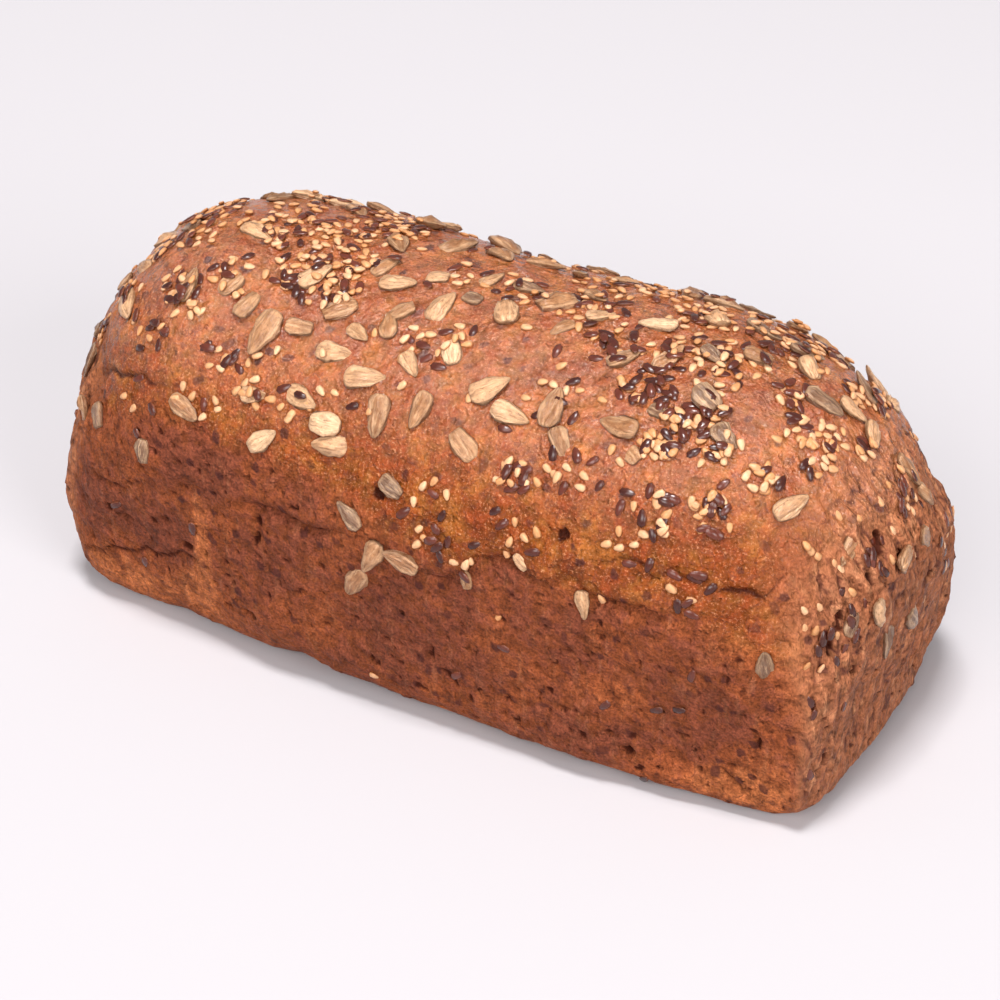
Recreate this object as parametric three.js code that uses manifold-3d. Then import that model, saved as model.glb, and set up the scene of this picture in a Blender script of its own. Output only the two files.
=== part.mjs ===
import * as THREE from 'three';
import { mergeVertices } from 'three/addons/utils/BufferGeometryUtils.js';
import Module from 'manifold-3d';

// A small seeded bread loaf, baked in a tin. It is one solid: the crumb and crust, with the
// sunflower kernels of the topping standing on the crust where they baked on.
// Millimetres, +Z up. X runs along the loaf, and its front long side faces -Y.
// The origin is under the middle of the loaf, on the surface that the loaf rests on.

// The block of dough that the loaf is shaped from
const LENGTH = 209;
const WIDTH = 98;
const HEIGHT = 91.5;

// Rounding of the block: the dome above the tin, and the corners that the tin gave
const DOME = 49;
const DOME_POWER = 2.08;
const SHOULDER_LEFT = 45;
const SHOULDER_RIGHT = 55;
const CORNER_LEFT = 13;
const CORNER_RIGHT = 12;
const BASE_EDGE_LEFT = 18;
const BASE_EDGE_RIGHT = 7;

// The tin narrows downwards, and the loaf's sides and ends swell outwards in plan
const TAPER_SIDES = 0.045;
const TAPER_ENDS = 0.042;
const TAPER_TOP = 0.62;
const SWELL_SIDES = 7;
const SWELL_LEFT = 2.8;
const SWELL_RIGHT = 4.4;
const CROWN_SAG = 0.5;

// The crease that the tin's rim left: its line along the front, in millimetres, and how deep it
// is there as a share of the full depth. The back has the same line turned round.
const RIM_LINE = [ // x, z, share of the depth
  [-104, 47, 0.1], [-42, 47, 0.1], [-36, 47.5, 0.9], [-22, 46.5, 1], [-14, 49, 0.4],
  [-6, 50, 0.2], [3, 46, 0.5], [12, 44.5, 0.9], [16, 48, 0.1], [20, 53, 0.6], [28, 55, 0.8],
  [34, 52, 1], [43, 55, 0.7], [47, 52, 0.2], [51, 51, 0.8], [61, 52, 0.7], [71, 53, 0.1],
  [104, 55, 0.1],
];
const RIM_HEIGHT = 50;
const CREASE_DEPTH = 1.6;
const CREASE_HALF_WIDTH = 1.6;

// The skin that bulges over the crease, its share where there is no crease, and the unevenness
// of the whole crust
const OVERHANG = 1;
const OVERHANG_SHARE = 0.4;
const OVERHANG_REACH = 9;
const UNEVENNESS = 0.7;

// The crust stands up in a ridge where the front meets the right end, and the back the left end
const RIDGE_RISE = 1.4;
const RIDGE_SPREAD = 0.28;
const RIDGE_TOP = 72;

// Two nicks in the lower edge of the front: place along X, half width and depth
const NICKS = [[-28, 5, 2.2], [-66, 3, 1.4]];
const NICK_HEIGHT = 9;

// Facets of the body along the loaf and across it, and the heights of its rings of facets,
// which lie closer together at the crease and follow its line
const FACETS_ALONG = 34;
const FACETS_ACROSS = 12;
const RING_HEIGHTS = [0, 4, 11, 22, 34, 43, 47.5, RIM_HEIGHT, 53, 59, 67, 78, HEIGHT];
const RINGS_FOLLOW = 16;

// A sunflower kernel: its usual width and thickness, as shares of its length, how much of the
// thickness stands above the crust, and how far its pointed end is drawn out
const KERNEL_WIDTH = 0.58;
const KERNEL_THICKNESS = 0.3;
const KERNEL_PROUD = 0.68;
const KERNEL_POINT = 0.5;

// Kernels that stand out on the shown side: place on the block's face in millimetres, turn of
// the pointed end in degrees from the face's first direction, and length
const KERNELS_ON_TOP = [ // x, y
  [-44, -38, -98, 12], [-51, -29, 77, 9], [-57, -24, 59, 9], [-69, -29, 90, 9],
  [-61, -6, -12, 9], [-83, -4, -42, 10], [-36, -32, 13, 8], [-31, -23, -134, 10.5],
  [-23, -28, -23, 7], [-17, -23, 116, 8], [-26, -37, 10, 9], [-16, -43, 16, 10],
  [-7, -34, -42, 7], [0, -25, 120, 9], [6, -9, 122, 11], [-2, -8, -6, 7],
  [-13, -4, 13, 8], [-8, -13, 85, 10], [-15, -17, 44, 8], [-21, -10, 18, 9],
  [-29, 4, -48, 9], [-27, -5, 67, 8], [-30, 22, -30, 11], [-40, -15, 56, 9],
  [-65, 27, 29, 11], [-46, 31, 10, 10], [-29, 32, -20, 10], [-18, 13, 68, 11],
  [-11, 25, -38, 12], [2, 19, 4, 10], [-8, 15, -42, 11], [14, -2, -122, 12],
  [20, -9, -113, 7], [21, 6, -36, 8], [26, -2, 42, 7], [-3, 1, 66, 7],
  [6, 2, 0, 8], [39, 0, -161, 9], [48, 10, 133, 10], [59, 14, 8, 9],
  [71, 15, 33, 9], [64, 1, 18, 9], [46, -9, 69, 9], [55, -5, -15, 7],
  [37, -13, 49, 8], [61, -19, -25, 10], [70, -28, -42, 9], [51, -26, -13, 6],
  [44, -34, 176, 9.5], [50, -43, -29, 7], [84, -1, 12, 10], [93, 5, 13, 8],
  [76, 6, -28, 9], [103, -40, 54, 9], [13, -34, 40, 10], [20, -41, -5, 9],
  [28, -34, 95, 10], [33, -46, -54, 8],
];
const KERNELS_ON_FRONT = [ // x, z
  [-103, 52, -77, 8], [-89, 53, -58, 9], [-69, 51, -88, 7.5], [-58, 67, -19, 9],
  [-36, 66, 42, 8.5], [11, 84, 143, 10], [-1, 91, -101, 9], [-10, 84, -85, 10],
  [-29, 82, -13, 9], [-23, 76, -175, 10], [-20, 70, -170, 9], [-41, 78, 12, 7],
  [-2, 64, -22, 8], [-12, 54, 144, 8], [-6, 45, -113, 9], [-11, 36, -119, 9],
  [2, 47, 161, 9], [18, 46, -74, 5.5], [31, 55, -44, 5.5], [46, 49, -78, 7],
  [91, 44, 96, 8],
];
const KERNELS_ON_RIGHT_END = [ // y, z
  [-24, 67, -154, 8], [-8, 57, 3, 9], [2, 56, -47, 8], [-20, 49, -76, 8],
  [-28, 51, 55, 8], [0, 35, -56, 9], [-13, 37, -99, 9], [9, 72, -80, 9],
  [10, 63, -69, 7], [4, 90, -141, 8], [36, 87, -20, 9],
];

// Kernels strewn by rule over what the shown side leaves open: how many, how close together
// they may lie, their lengths, and the draw that places them
const STREWN_KERNELS = 62;
const KERNEL_SPACING = 8.5;
const STREWN_SHORTEST = 7;
const STREWN_LONGEST = 10.5;
const STREWN_TRIES = 6000;
const SEED = 7;

const halfLength = LENGTH / 2;
const halfWidth = WIDTH / 2;
const halfHeight = HEIGHT / 2;

function mix(from, to, share) {
  return from + (to - from) * share;
}

function smooth(from, to, value) {
  const t = Math.min(Math.max((value - from) / (to - from), 0), 1);
  return t * t * (3 - 2 * t);
}

function clampToCore(value, half, radius) {
  return Math.min(Math.max(value, radius - half), half - radius);
}

// Repeatable random numbers from 0 to 1
function seededRandom(seed) {
  let state = seed >>> 0;
  return function draw() {
    state = (state + 0x6d2b79f5) >>> 0;
    let t = Math.imul(state ^ (state >>> 15), state | 1);
    t ^= t + Math.imul(t ^ (t >>> 7), t | 61);
    return ((t ^ (t >>> 14)) >>> 0) / 4294967296;
  };
}

// Height and share of the depth of the rim's line at a place along it
function onRimLine(x) {
  let i = 1;
  while (i < RIM_LINE.length - 1 && RIM_LINE[i][0] < x) i += 1;
  const [x0, z0, share0] = RIM_LINE[i - 1];
  const [x1, z1, share1] = RIM_LINE[i];
  const t = smooth(x0, x1, x);
  return [mix(z0, z1, t), mix(share0, share1, t)];
}

// Height of the rim's crease, and its share of the full depth, above a place on the base
function rimCrease(x, y) {
  const [frontHeight, frontShare] = onRimLine(x);
  const [backHeight, backShare] = onRimLine(-x);
  const back = smooth(-0.8, 0.8, y / halfWidth);
  return { height: mix(frontHeight, backHeight, back), share: mix(frontShare, backShare, back) };
}

// How far the ridge stands out at the corners that have one
function cornerRidge(z, out) {
  if (out.x * out.y >= 0) return 0;
  const fromCorner = Math.atan2(Math.abs(out.y), Math.abs(out.x)) - Math.PI / 4;
  const below = 1 - smooth(0.6 * RIDGE_TOP, RIDGE_TOP, z);
  return RIDGE_RISE * Math.exp(-((fromCorner / RIDGE_SPREAD) ** 2)) * below;
}

// How far the crust stands out from the smooth form at a point
function relief(x, y, z, out) {
  const rim = rimCrease(x, y);
  const above = z - rim.height;
  const groove = -CREASE_DEPTH * rim.share * Math.exp(-((above / CREASE_HALF_WIDTH) ** 2));
  const reach = above > 0 ? OVERHANG_REACH : OVERHANG_REACH / 3;
  const sign = above > 0 ? 1 : -0.5;
  const fullness = mix(OVERHANG_SHARE, 1, rim.share);
  const bulge = sign * OVERHANG * fullness * Math.exp(-Math.abs(above) / reach);
  const waves = Math.sin(x / 11 + 2 * Math.sin(z / 19)) * Math.sin(y / 13 + z / 17 + 1.3)
    + 0.6 * Math.sin(x / 5.3 - z / 8 + 0.7) * Math.sin(y / 7.1 + x / 21);
  const atLowerEdge = smooth(0.7, 0.85, -y / halfWidth) * (1 - smooth(0, NICK_HEIGHT, z));
  let nicks = 0;
  for (const [place, half, depth] of NICKS) {
    nicks += depth * Math.exp(-(((x - place) / half) ** 2)) * atLowerEdge;
  }
  const clearOfBase = smooth(1, 9, z);
  const ridge = cornerRidge(z, out);
  return (groove + bulge + waves * UNEVENNESS + ridge) * clearOfBase - nicks;
}

// Carries a point of the block's surface onto the loaf, and gives the way out of the crust there
function loafPoint(blockX, blockY, blockZ) {
  const a = blockX / halfLength;
  const c = blockZ / halfHeight - 1;
  const upper = smooth(-0.6, 0.5, c);
  const towardsRight = smooth(-0.8, 0.8, a);
  const corner = mix(CORNER_LEFT, CORNER_RIGHT, towardsRight);
  const shoulder = a > 0 ? SHOULDER_RIGHT : SHOULDER_LEFT;
  const baseEdge = mix(BASE_EDGE_LEFT, BASE_EDGE_RIGHT, towardsRight);
  const radiusX = mix(corner, shoulder, upper);
  const radiusY = mix(corner, halfWidth, upper);
  const radiusZ = c > 0 ? DOME : baseEdge;
  const power = c > 0 ? DOME_POWER : 2;

  const core = new THREE.Vector3(
    clampToCore(blockX, halfLength, radiusX),
    clampToCore(blockY, halfWidth, radiusY),
    Math.min(Math.max(blockZ - halfHeight, radiusZ - halfHeight), halfHeight - radiusZ),
  );
  const way = new THREE.Vector3(
    (blockX - core.x) / radiusX,
    (blockY - core.y) / radiusY,
    (blockZ - halfHeight - core.z) / radiusZ,
  );
  const size = (Math.abs(way.x) ** power + Math.abs(way.y) ** power + Math.abs(way.z) ** power)
    ** (1 / power);
  way.divideScalar(size);
  let x = core.x + radiusX * way.x;
  let y = core.y + radiusY * way.y;
  let z = core.z + radiusZ * way.z + halfHeight;

  const low = 1 - smooth(0, TAPER_TOP, z / HEIGHT);
  const swellEnd = x > 0 ? SWELL_RIGHT : SWELL_LEFT;
  const alongShare = x / halfLength;
  const acrossShare = y / halfWidth;
  const pulledX = swellEnd * Math.sign(x) * alongShare ** 4 * acrossShare ** 2;
  const pulledY = SWELL_SIDES * Math.sign(y) * acrossShare ** 4 * alongShare ** 2;
  x = x * (1 - TAPER_ENDS * low) - pulledX;
  y = y * (1 - TAPER_SIDES * low) - pulledY;
  z -= CROWN_SAG * (z / HEIGHT) ** 3 * (1 - alongShare ** 2);

  const out = way.normalize();
  const point = new THREE.Vector3(x, y, z).addScaledVector(out, relief(x, y, z, out));
  return { point, out };
}

// A place on one face of the block, from the face's two directions
function blockPlace(face, first, second) {
  if (face === 'top') return [first, second, HEIGHT];
  if (face === 'front') return [first, -halfWidth, second];
  if (face === 'back') return [first, halfWidth, second];
  if (face === 'right') return [halfLength, first, second];
  return [-halfLength, first, second];
}

// Height of a ring of facets on the block above a place: rings near the rim follow its line
function ringHeight(ring, x, y) {
  const height = RING_HEIGHTS[ring];
  const follow = 1 - smooth(0, RINGS_FOLLOW, Math.abs(height - RIM_HEIGHT));
  return height + (rimCrease(x, y).height - RIM_HEIGHT) * follow;
}

// The body: a box of facets, each corner carried onto the loaf
function makeBody() {
  const rings = RING_HEIGHTS.length - 1;
  const box = new THREE.BoxGeometry(LENGTH, WIDTH, rings, FACETS_ALONG, FACETS_ACROSS, rings);
  const corners = box.attributes.position;
  for (let i = 0; i < corners.count; i += 1) {
    const ring = Math.round(corners.getZ(i) + rings / 2);
    const x = corners.getX(i);
    const y = corners.getY(i);
    const { point } = loafPoint(x, y, ringHeight(ring, x, y));
    corners.setXYZ(i, point.x, point.y, Math.max(point.z, 0));
  }
  return toSolid(box);
}

// A kernel lies along X with a ridge on its back: blunt and wide behind, drawn to a point at +X
function makeKernel(length) {
  const kernel = new THREE.IcosahedronGeometry(1, 0);
  kernel.rotateZ(Math.PI / 2);
  const corners = kernel.attributes.position;
  for (let i = 0; i < corners.count; i += 1) {
    corners.setY(i, corners.getY(i) * (1 - KERNEL_POINT * corners.getX(i)));
  }
  kernel.computeBoundingBox();
  const size = kernel.boundingBox.getSize(new THREE.Vector3());
  kernel.scale(length / size.x, length * KERNEL_WIDTH / size.y, length * KERNEL_THICKNESS / size.z);
  return kernel;
}

// Where a kernel lies on the crust: its matrix, and its middle for keeping others clear
function layKernel(face, first, second, turn, length) {
  const here = loafPoint(...blockPlace(face, first, second));
  const ahead = loafPoint(...blockPlace(face, first + 0.5, second));
  const behind = loafPoint(...blockPlace(face, first - 0.5, second));
  const up = here.out;
  const along = ahead.point.sub(behind.point);
  along.addScaledVector(up, -along.dot(up)).normalize();
  const side = new THREE.Vector3().crossVectors(up, along);
  const lift = length * KERNEL_THICKNESS * (KERNEL_PROUD - 0.5);
  const middle = here.point.clone().addScaledVector(up, lift);
  const matrix = new THREE.Matrix4().makeBasis(along, side, up).setPosition(middle);
  matrix.multiply(new THREE.Matrix4().makeRotationZ(THREE.MathUtils.degToRad(turn)));
  return { matrix, middle, length, up };
}

// How thickly the topping lies: thick on the crown, thin down the sides, and left open
// where the kernels of the shown side are already placed
function toppingThickness({ middle, up }) {
  const crown = smooth(0.25, 0.9, up.z);
  const hidden = Math.max(smooth(8, 20, middle.y), smooth(84, 92, -middle.x));
  const aboveRim = smooth(RIM_HEIGHT - 20, RIM_HEIGHT + 6, middle.z);
  return hidden * (0.08 * aboveRim + 0.92 * crown);
}

function placeKernels() {
  const kernels = [];
  for (const [x, y, turn, length] of KERNELS_ON_TOP) {
    kernels.push(layKernel('top', x, y, turn, length));
  }
  for (const [x, z, turn, length] of KERNELS_ON_FRONT) {
    kernels.push(layKernel('front', x, z, turn, length));
  }
  for (const [y, z, turn, length] of KERNELS_ON_RIGHT_END) {
    kernels.push(layKernel('right', y, z, turn, length));
  }
  const total = kernels.length + STREWN_KERNELS;
  const draw = seededRandom(SEED);
  const faces = ['top', 'top', 'top', 'back', 'back', 'left'];
  for (let i = 0; i < STREWN_TRIES && kernels.length < total; i += 1) {
    const face = faces[Math.floor(draw() * faces.length)];
    const first = (draw() * 2 - 1) * (face === 'left' ? halfWidth : halfLength);
    const second = face === 'top' ? (draw() * 2 - 1) * halfWidth : draw() * HEIGHT;
    const turn = draw() * 360;
    const length = mix(STREWN_SHORTEST, STREWN_LONGEST, draw());
    const luck = draw();
    const kernel = layKernel(face, first, second, turn, length);
    const crowded = kernels.some((other) => other.middle.distanceTo(kernel.middle) < KERNEL_SPACING);
    if (!crowded && luck < toppingThickness(kernel)) kernels.push(kernel);
  }
  return kernels;
}

const wasm = await Module();
wasm.setup();

function toSolid(geometry) {
  const closed = geometry.clone();
  closed.deleteAttribute('normal');
  closed.deleteAttribute('uv');
  const merged = mergeVertices(closed, 1e-4);
  return new wasm.Manifold(new wasm.Mesh({
    numProp: 3,
    vertProperties: new Float32Array(merged.attributes.position.array),
    triVerts: new Uint32Array(merged.index.array),
  }));
}

function toGeometry(solid) {
  const mesh = solid.getMesh();
  const geometry = new THREE.BufferGeometry();
  geometry.setAttribute('position', new THREE.BufferAttribute(mesh.vertProperties, 3));
  geometry.setIndex(new THREE.BufferAttribute(mesh.triVerts, 1));
  return geometry;
}

function makeLoaf() {
  let loaf = makeBody();
  for (const { matrix, length } of placeKernels()) {
    loaf = loaf.add(toSolid(makeKernel(length).applyMatrix4(matrix)));
  }
  const geometry = toGeometry(loaf).toNonIndexed();
  geometry.computeVertexNormals();
  return geometry;
}

const crust = new THREE.MeshStandardMaterial({ color: 0xa55a35, roughness: 0.6, metalness: 0 });
const loaf = new THREE.Mesh(makeLoaf(), crust);
loaf.name = 'loaf';

const group = new THREE.Group();
group.add(loaf);

export default group;
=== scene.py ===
"""A small seeded bread loaf, baked in a tin: its crust, and the sunflower kernels, sesame and
linseed that baked on. Places on the loaf are in millimetres in its block: the block of dough
before its edges are rounded. X runs along the loaf, its front long side faces -Y, and Z is up."""

import math

import bmesh
import bpy
from bpy.props import FloatProperty, FloatVectorProperty, IntProperty, PointerProperty
from mathutils import Matrix, Vector, noise


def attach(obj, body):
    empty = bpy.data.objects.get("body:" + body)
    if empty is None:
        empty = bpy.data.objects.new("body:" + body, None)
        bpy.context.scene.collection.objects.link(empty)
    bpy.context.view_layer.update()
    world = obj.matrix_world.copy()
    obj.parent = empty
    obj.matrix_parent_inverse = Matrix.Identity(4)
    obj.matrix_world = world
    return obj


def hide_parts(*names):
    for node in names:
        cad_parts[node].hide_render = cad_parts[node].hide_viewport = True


bl_info = {
    "name": "Seeded Tin Loaf",
    "version": (1, 0, 0),
    "blender": (4, 5, 0),
    "location": "View3D > Sidebar > Loaf",
    "description": "Makes a seeded loaf with a modelled crust and three kinds of seed",
    "category": "Add Mesh",
}

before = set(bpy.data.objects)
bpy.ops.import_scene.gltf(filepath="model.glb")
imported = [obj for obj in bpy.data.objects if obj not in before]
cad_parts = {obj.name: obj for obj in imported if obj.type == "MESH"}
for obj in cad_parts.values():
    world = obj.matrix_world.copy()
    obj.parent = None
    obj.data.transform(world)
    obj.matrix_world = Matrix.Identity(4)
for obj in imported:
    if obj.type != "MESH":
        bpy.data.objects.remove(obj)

MM = 0.001

# Rounding of the block: the dome above the tin, and the corners that the tin gave
DOME = 49.0
DOME_POWER = 2.08
SHOULDER_LEFT = 45.0
SHOULDER_RIGHT = 55.0
CORNER_LEFT = 13.0
CORNER_RIGHT = 12.0
BASE_EDGE_LEFT = 18.0
BASE_EDGE_RIGHT = 7.0

# The tin narrows downwards, and the loaf's sides and ends swell outwards in plan
TAPER_SIDES = 0.045
TAPER_ENDS = 0.042
TAPER_TOP = 0.62
SWELL_SIDES = 7.0
SWELL_LEFT = 2.8
SWELL_RIGHT = 4.4
CROWN_SAG = 0.5

# The crease that the tin's rim left: its line along the front, and how deep it is there as a
# share of the full depth. The back has the same line turned round.
RIM_LINE = (  # x, z, share of the depth
    (-104, 47, 0.1), (-42, 47, 0.1), (-36, 47.5, 0.9), (-22, 46.5, 1), (-14, 49, 0.4),
    (-6, 50, 0.2), (3, 46, 0.5), (12, 44.5, 0.9), (16, 48, 0.1), (20, 53, 0.6), (28, 55, 0.8),
    (34, 52, 1), (43, 55, 0.7), (47, 52, 0.2), (51, 51, 0.8), (61, 52, 0.7), (71, 53, 0.1),
    (104, 55, 0.1),
)
RIM_HEIGHT = 50.0
CREASE_DEPTH = 1.6
CREASE_HALF_WIDTH = 1.6

# The skin that bulges over the crease, its share where there is no crease, and the unevenness
# of the whole crust
OVERHANG = 1.0
OVERHANG_SHARE = 0.4
OVERHANG_REACH = 9.0
UNEVENNESS = 0.7

# The crust stands up in a ridge where the front meets the right end, and the back the left end
RIDGE_RISE = 1.4
RIDGE_SPREAD = 0.28
RIDGE_TOP = 72.0

# Two nicks in the lower edge of the front: place along X, half width and depth
NICKS = ((-28, 5, 2.2), (-66, 3, 1.4))
NICK_HEIGHT = 9.0

# Lower edge of the smooth skin on the front: place along X and height
SKIN_EDGE = (
    (-104, 52), (-84, 55), (-66, 62), (-40, 61), (-20, 58), (0, 54), (12, 49),
    (28, 55), (50, 52), (66, 54), (80, 50), (90, 42), (104, 38),
)

# Folds of the skin on the front: depth and line of (x, z)
FOLDS = (
    (0.9, ((-92, 57), (-84, 62), (-74, 66), (-63, 67.8), (-60, 67.9))),
    (0.8, ((-53, 68.5), (-47, 69), (-43, 69.7), (-33, 71.4))),
    (0.5, ((-52, 66.6), (-49, 66), (-43, 66.5))),
    (0.7, ((47, 60), (54, 61.6), (61, 59.8), (64, 60.9), (69, 59.5))),
    (0.9, ((74, 58), (77, 58.4), (83, 58.3), (86, 61), (88, 65))),
    (0.4, ((54, 76.8), (61, 75.6))),
    (0.7, ((-86, 36.5), (-77, 38), (-70, 41.3))),
    (0.9, ((-95, 11.5), (-87, 15.3), (-79, 18.3), (-70, 21.1), (-56, 25.3))),
    (0.8, ((77, 12.5), (80, 10), (83.5, 8.3))),
    (0.5, ((86, 11.5), (92, 12.5))),
    (0.5, ((71, 39.8), (77, 36), (82, 30))),
    (0.5, ((-2, 59), (5, 60.5), (12, 59.5))),
)
FOLD_REACH = 4.0

# Browner patches on the front: middle (x, z), half width, half height and strength. Those with
# a negative strength are paler.
PATCHES = (
    (-84, 29, 15, 10, 0.7), (-66, 28, 8, 9, 0.7), (-50, 52, 18, 7, 0.5), (-38, 30, 8, 16, 0.5),
    (18, 57, 12, 6, 0.5), (2, 24, 16, 14, 0.6), (30, 40, 14, 10, 0.3), (73, 30, 16, 9, 0.7),
    (46, 12, 18, 6, 0.4), (-54, 27, 2.5, 13, -1.2), (56, 26, 12, 6, -0.6), (-20, 24, 5, 12, -0.2),
    (-76, 9, 26, 8, -0.85), (86, 7, 14, 5, -1.0), (90, 20, 8, 16, -0.5), (-57, 15, 5, 8, -0.8),
)

# Torn holes in the crust: face, place on it, length, width, turn and depth
HOLES = (
    ("front", -5, 62, 5, 3, 30, 1.6), ("front", 39, 65, 4, 2.4, 60, 1.4),
    ("front", -37, 43, 3, 1.8, 80, 1.8), ("front", -38, 38, 5, 1.4, 70, 1.6),
    ("front", -60, 28, 4, 1.8, 5, 1.4), ("front", -66, 33, 2.4, 1.6, 60, 1.1),
    ("front", -43, 15, 3.4, 1.4, 0, 1.4), ("front", -47, 22, 2, 1.2, 70, 1),
    ("front", -8, 14, 3.4, 1.2, 120, 1.1), ("front", 14, 16, 3.6, 1.2, 110, 1.1),
    ("front", 8, 22, 4, 1.6, 80, 1), ("front", 59, 11, 3, 2, 0, 1.3),
    ("front", 54, 15, 2, 1.6, 0, 1.1), ("front", 91, 23, 3, 1.3, 80, 1.4),
    ("front", -84, 30, 3, 1.6, 20, 1.2), ("front", -79, 29, 3, 1.4, 0, 1),
    ("right", -14, 64, 6, 2.6, 60, 2.2), ("right", -36, 48, 7, 1.6, 70, 1.8),
    ("right", -21, 57, 5, 1.6, 70, 1.8), ("right", -32, 52, 5, 1.4, 60, 1.5),
    ("right", -28, 38, 3, 1.6, 60, 1.2), ("right", -9, 57, 5, 1.6, 60, 1.6),
    ("right", 6, 44, 5, 1.5, 30, 1.5), ("right", -16, 30, 3, 1.6, 30, 1.1),
    ("right", 10, 32, 3, 1.8, 30, 1.2), ("right", -38, 18, 3, 1.6, 60, 1.2),
)

# Sunflower kernels that stand out on the shown side: place on the block's face, turn of the
# pointed end in degrees from the face's first direction, length, and tone from 0 for cream to
# 3 for grey
KERNELS_ON_TOP = (  # x, y
    (-44, -38, -98, 12, 2), (-51, -29, 77, 9, 2), (-57, -24, 59, 9, 2), (-69, -29, 90, 9, 2),
    (-61, -6, -12, 9, 1), (-83, -4, -42, 10, 3), (-36, -32, 13, 8, 2), (-31, -23, -134, 10.5, 2),
    (-23, -28, -23, 7, 1), (-17, -23, 116, 8, 2), (-26, -37, 10, 9, 1), (-16, -43, 16, 10, 1),
    (-7, -34, -42, 7, 1), (0, -25, 120, 9, 0), (6, -9, 122, 11, 1), (-2, -8, -6, 7, 3),
    (-13, -4, 13, 8, 1), (-8, -13, 85, 10, 1), (-15, -17, 44, 8, 2), (-21, -10, 18, 9, 1),
    (-29, 4, -48, 9, 2), (-27, -5, 67, 8, 2), (-30, 22, -30, 11, 2), (-40, -15, 56, 9, 1),
    (-65, 27, 29, 11, 1), (-46, 31, 10, 10, 2), (-29, 32, -20, 10, 1), (-18, 13, 68, 11, 2),
    (-11, 25, -38, 12, 2), (2, 19, 4, 10, 2), (-8, 15, -42, 11, 2), (14, -2, -122, 12, 2),
    (20, -9, -113, 7, 2), (21, 6, -36, 8, 2), (26, -2, 42, 7, 1), (-3, 1, 66, 7, 1),
    (6, 2, 0, 8, 3), (39, 0, -161, 9, 0), (48, 10, 133, 10, 1), (59, 14, 8, 9, 3),
    (71, 15, 33, 9, 3), (64, 1, 18, 9, 2), (46, -9, 69, 9, 2), (55, -5, -15, 7, 3),
    (37, -13, 49, 8, 2), (61, -19, -25, 10, 3), (70, -28, -42, 9, 3), (51, -26, -13, 6, 3),
    (44, -34, 176, 9.5, 2), (50, -43, -29, 7, 2), (84, -1, 12, 10, 3), (93, 5, 13, 8, 1),
    (76, 6, -28, 9, 1), (103, -40, 54, 9, 1), (13, -34, 40, 10, 1), (20, -41, -5, 9, 1),
    (28, -34, 95, 10, 2), (33, -46, -54, 8, 2),
)
KERNELS_ON_FRONT = (  # x, z
    (-103, 52, -77, 8, 2), (-89, 53, -58, 9, 3), (-69, 51, -88, 7.5, 3), (-58, 67, -19, 9, 2),
    (-36, 66, 42, 8.5, 0), (11, 84, 143, 10, 2), (-1, 91, -101, 9, 2), (-10, 84, -85, 10, 2),
    (-29, 82, -13, 9, 1), (-23, 76, -175, 10, 0), (-20, 70, -170, 9, 1), (-41, 78, 12, 7, 1),
    (-2, 64, -22, 8, 3), (-12, 54, 144, 8, 3), (-6, 45, -113, 9, 2), (-11, 36, -119, 9, 2),
    (2, 47, 161, 9, 2), (18, 46, -74, 5.5, 2), (31, 55, -44, 5.5, 1), (46, 49, -78, 7, 1),
    (91, 44, 96, 8, 3),
)
KERNELS_ON_RIGHT_END = (  # y, z
    (-24, 67, -154, 8, 2), (-8, 57, 3, 9, 2), (2, 56, -47, 8, 2), (-20, 49, -76, 8, 1),
    (-28, 51, 55, 8, 3), (0, 35, -56, 9, 3), (-13, 37, -99, 9, 3), (9, 72, -80, 9, 2),
    (10, 63, -69, 7, 2), (4, 90, -141, 8, 1), (36, 87, -20, 9, 1),
)

# Kernels strewn by rule over what the shown side leaves open
STREWN_KERNELS = 62
KERNEL_SPACING = 8.5
STREWN_SHORTEST = 7.0
STREWN_LONGEST = 10.5
STREWN_TRIES = 6000
STREWN_SEED = 7

# Start of the noise functions, so that the crust comes out the same each time
NOISE_SEED = 5

# Handfuls of small seed: place on the block's face, reach, and the sesame and linseed in it
HANDFULS_ON_TOP = (  # x, y
    (-80, 2, 8, 16, 9), (-56, -1, 8, 26, 12), (-43, 4, 8, 22, 8), (-34, 13, 7, 20, 9),
    (-46, -10, 7, 15, 6), (-34, -6, 6, 14, 4), (-58, -21, 7, 9, 4), (-45, -20, 4, 2, 8),
    (-36, -19, 7, 12, 5), (-71, -29, 7, 9, 9), (-91, -12, 6, 10, 7), (-102, -32, 6, 6, 3),
    (-64, -37, 3, 7, 0), (-32, -15, 5, 6, 3), (-74, -10, 6, 9, 3), (0, -23, 6, 7, 2),
    (-8, -29, 5, 4, 3), (-8, 0, 6, 6, 2), (4, 0, 7, 6, 5), (23, 0, 8, 12, 10),
    (34, -9, 7, 8, 12), (46, -20, 7, 6, 22), (59, -26, 6, 9, 15), (48, -6, 7, 14, 7),
    (60, -3, 7, 11, 9), (60, -12, 6, 8, 3), (18, 16, 8, 12, 4), (25, 31, 8, 8, 4),
    (46, 8, 6, 5, 3), (59, 10, 7, 6, 6), (67, 13, 6, 6, 5), (55, -37, 5, 20, 4),
    (68, -32, 6, 8, 4), (76, -5, 5, 7, 7), (85, -13, 6, 13, 3), (95, -9, 5, 10, 2),
    (98, -21, 6, 6, 2), (87, -34, 6, 10, 2), (29, -31, 8, 4, 4), (77, 27, 7, 7, 5),
    (101, 22, 6, 6, 5),
)
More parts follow.
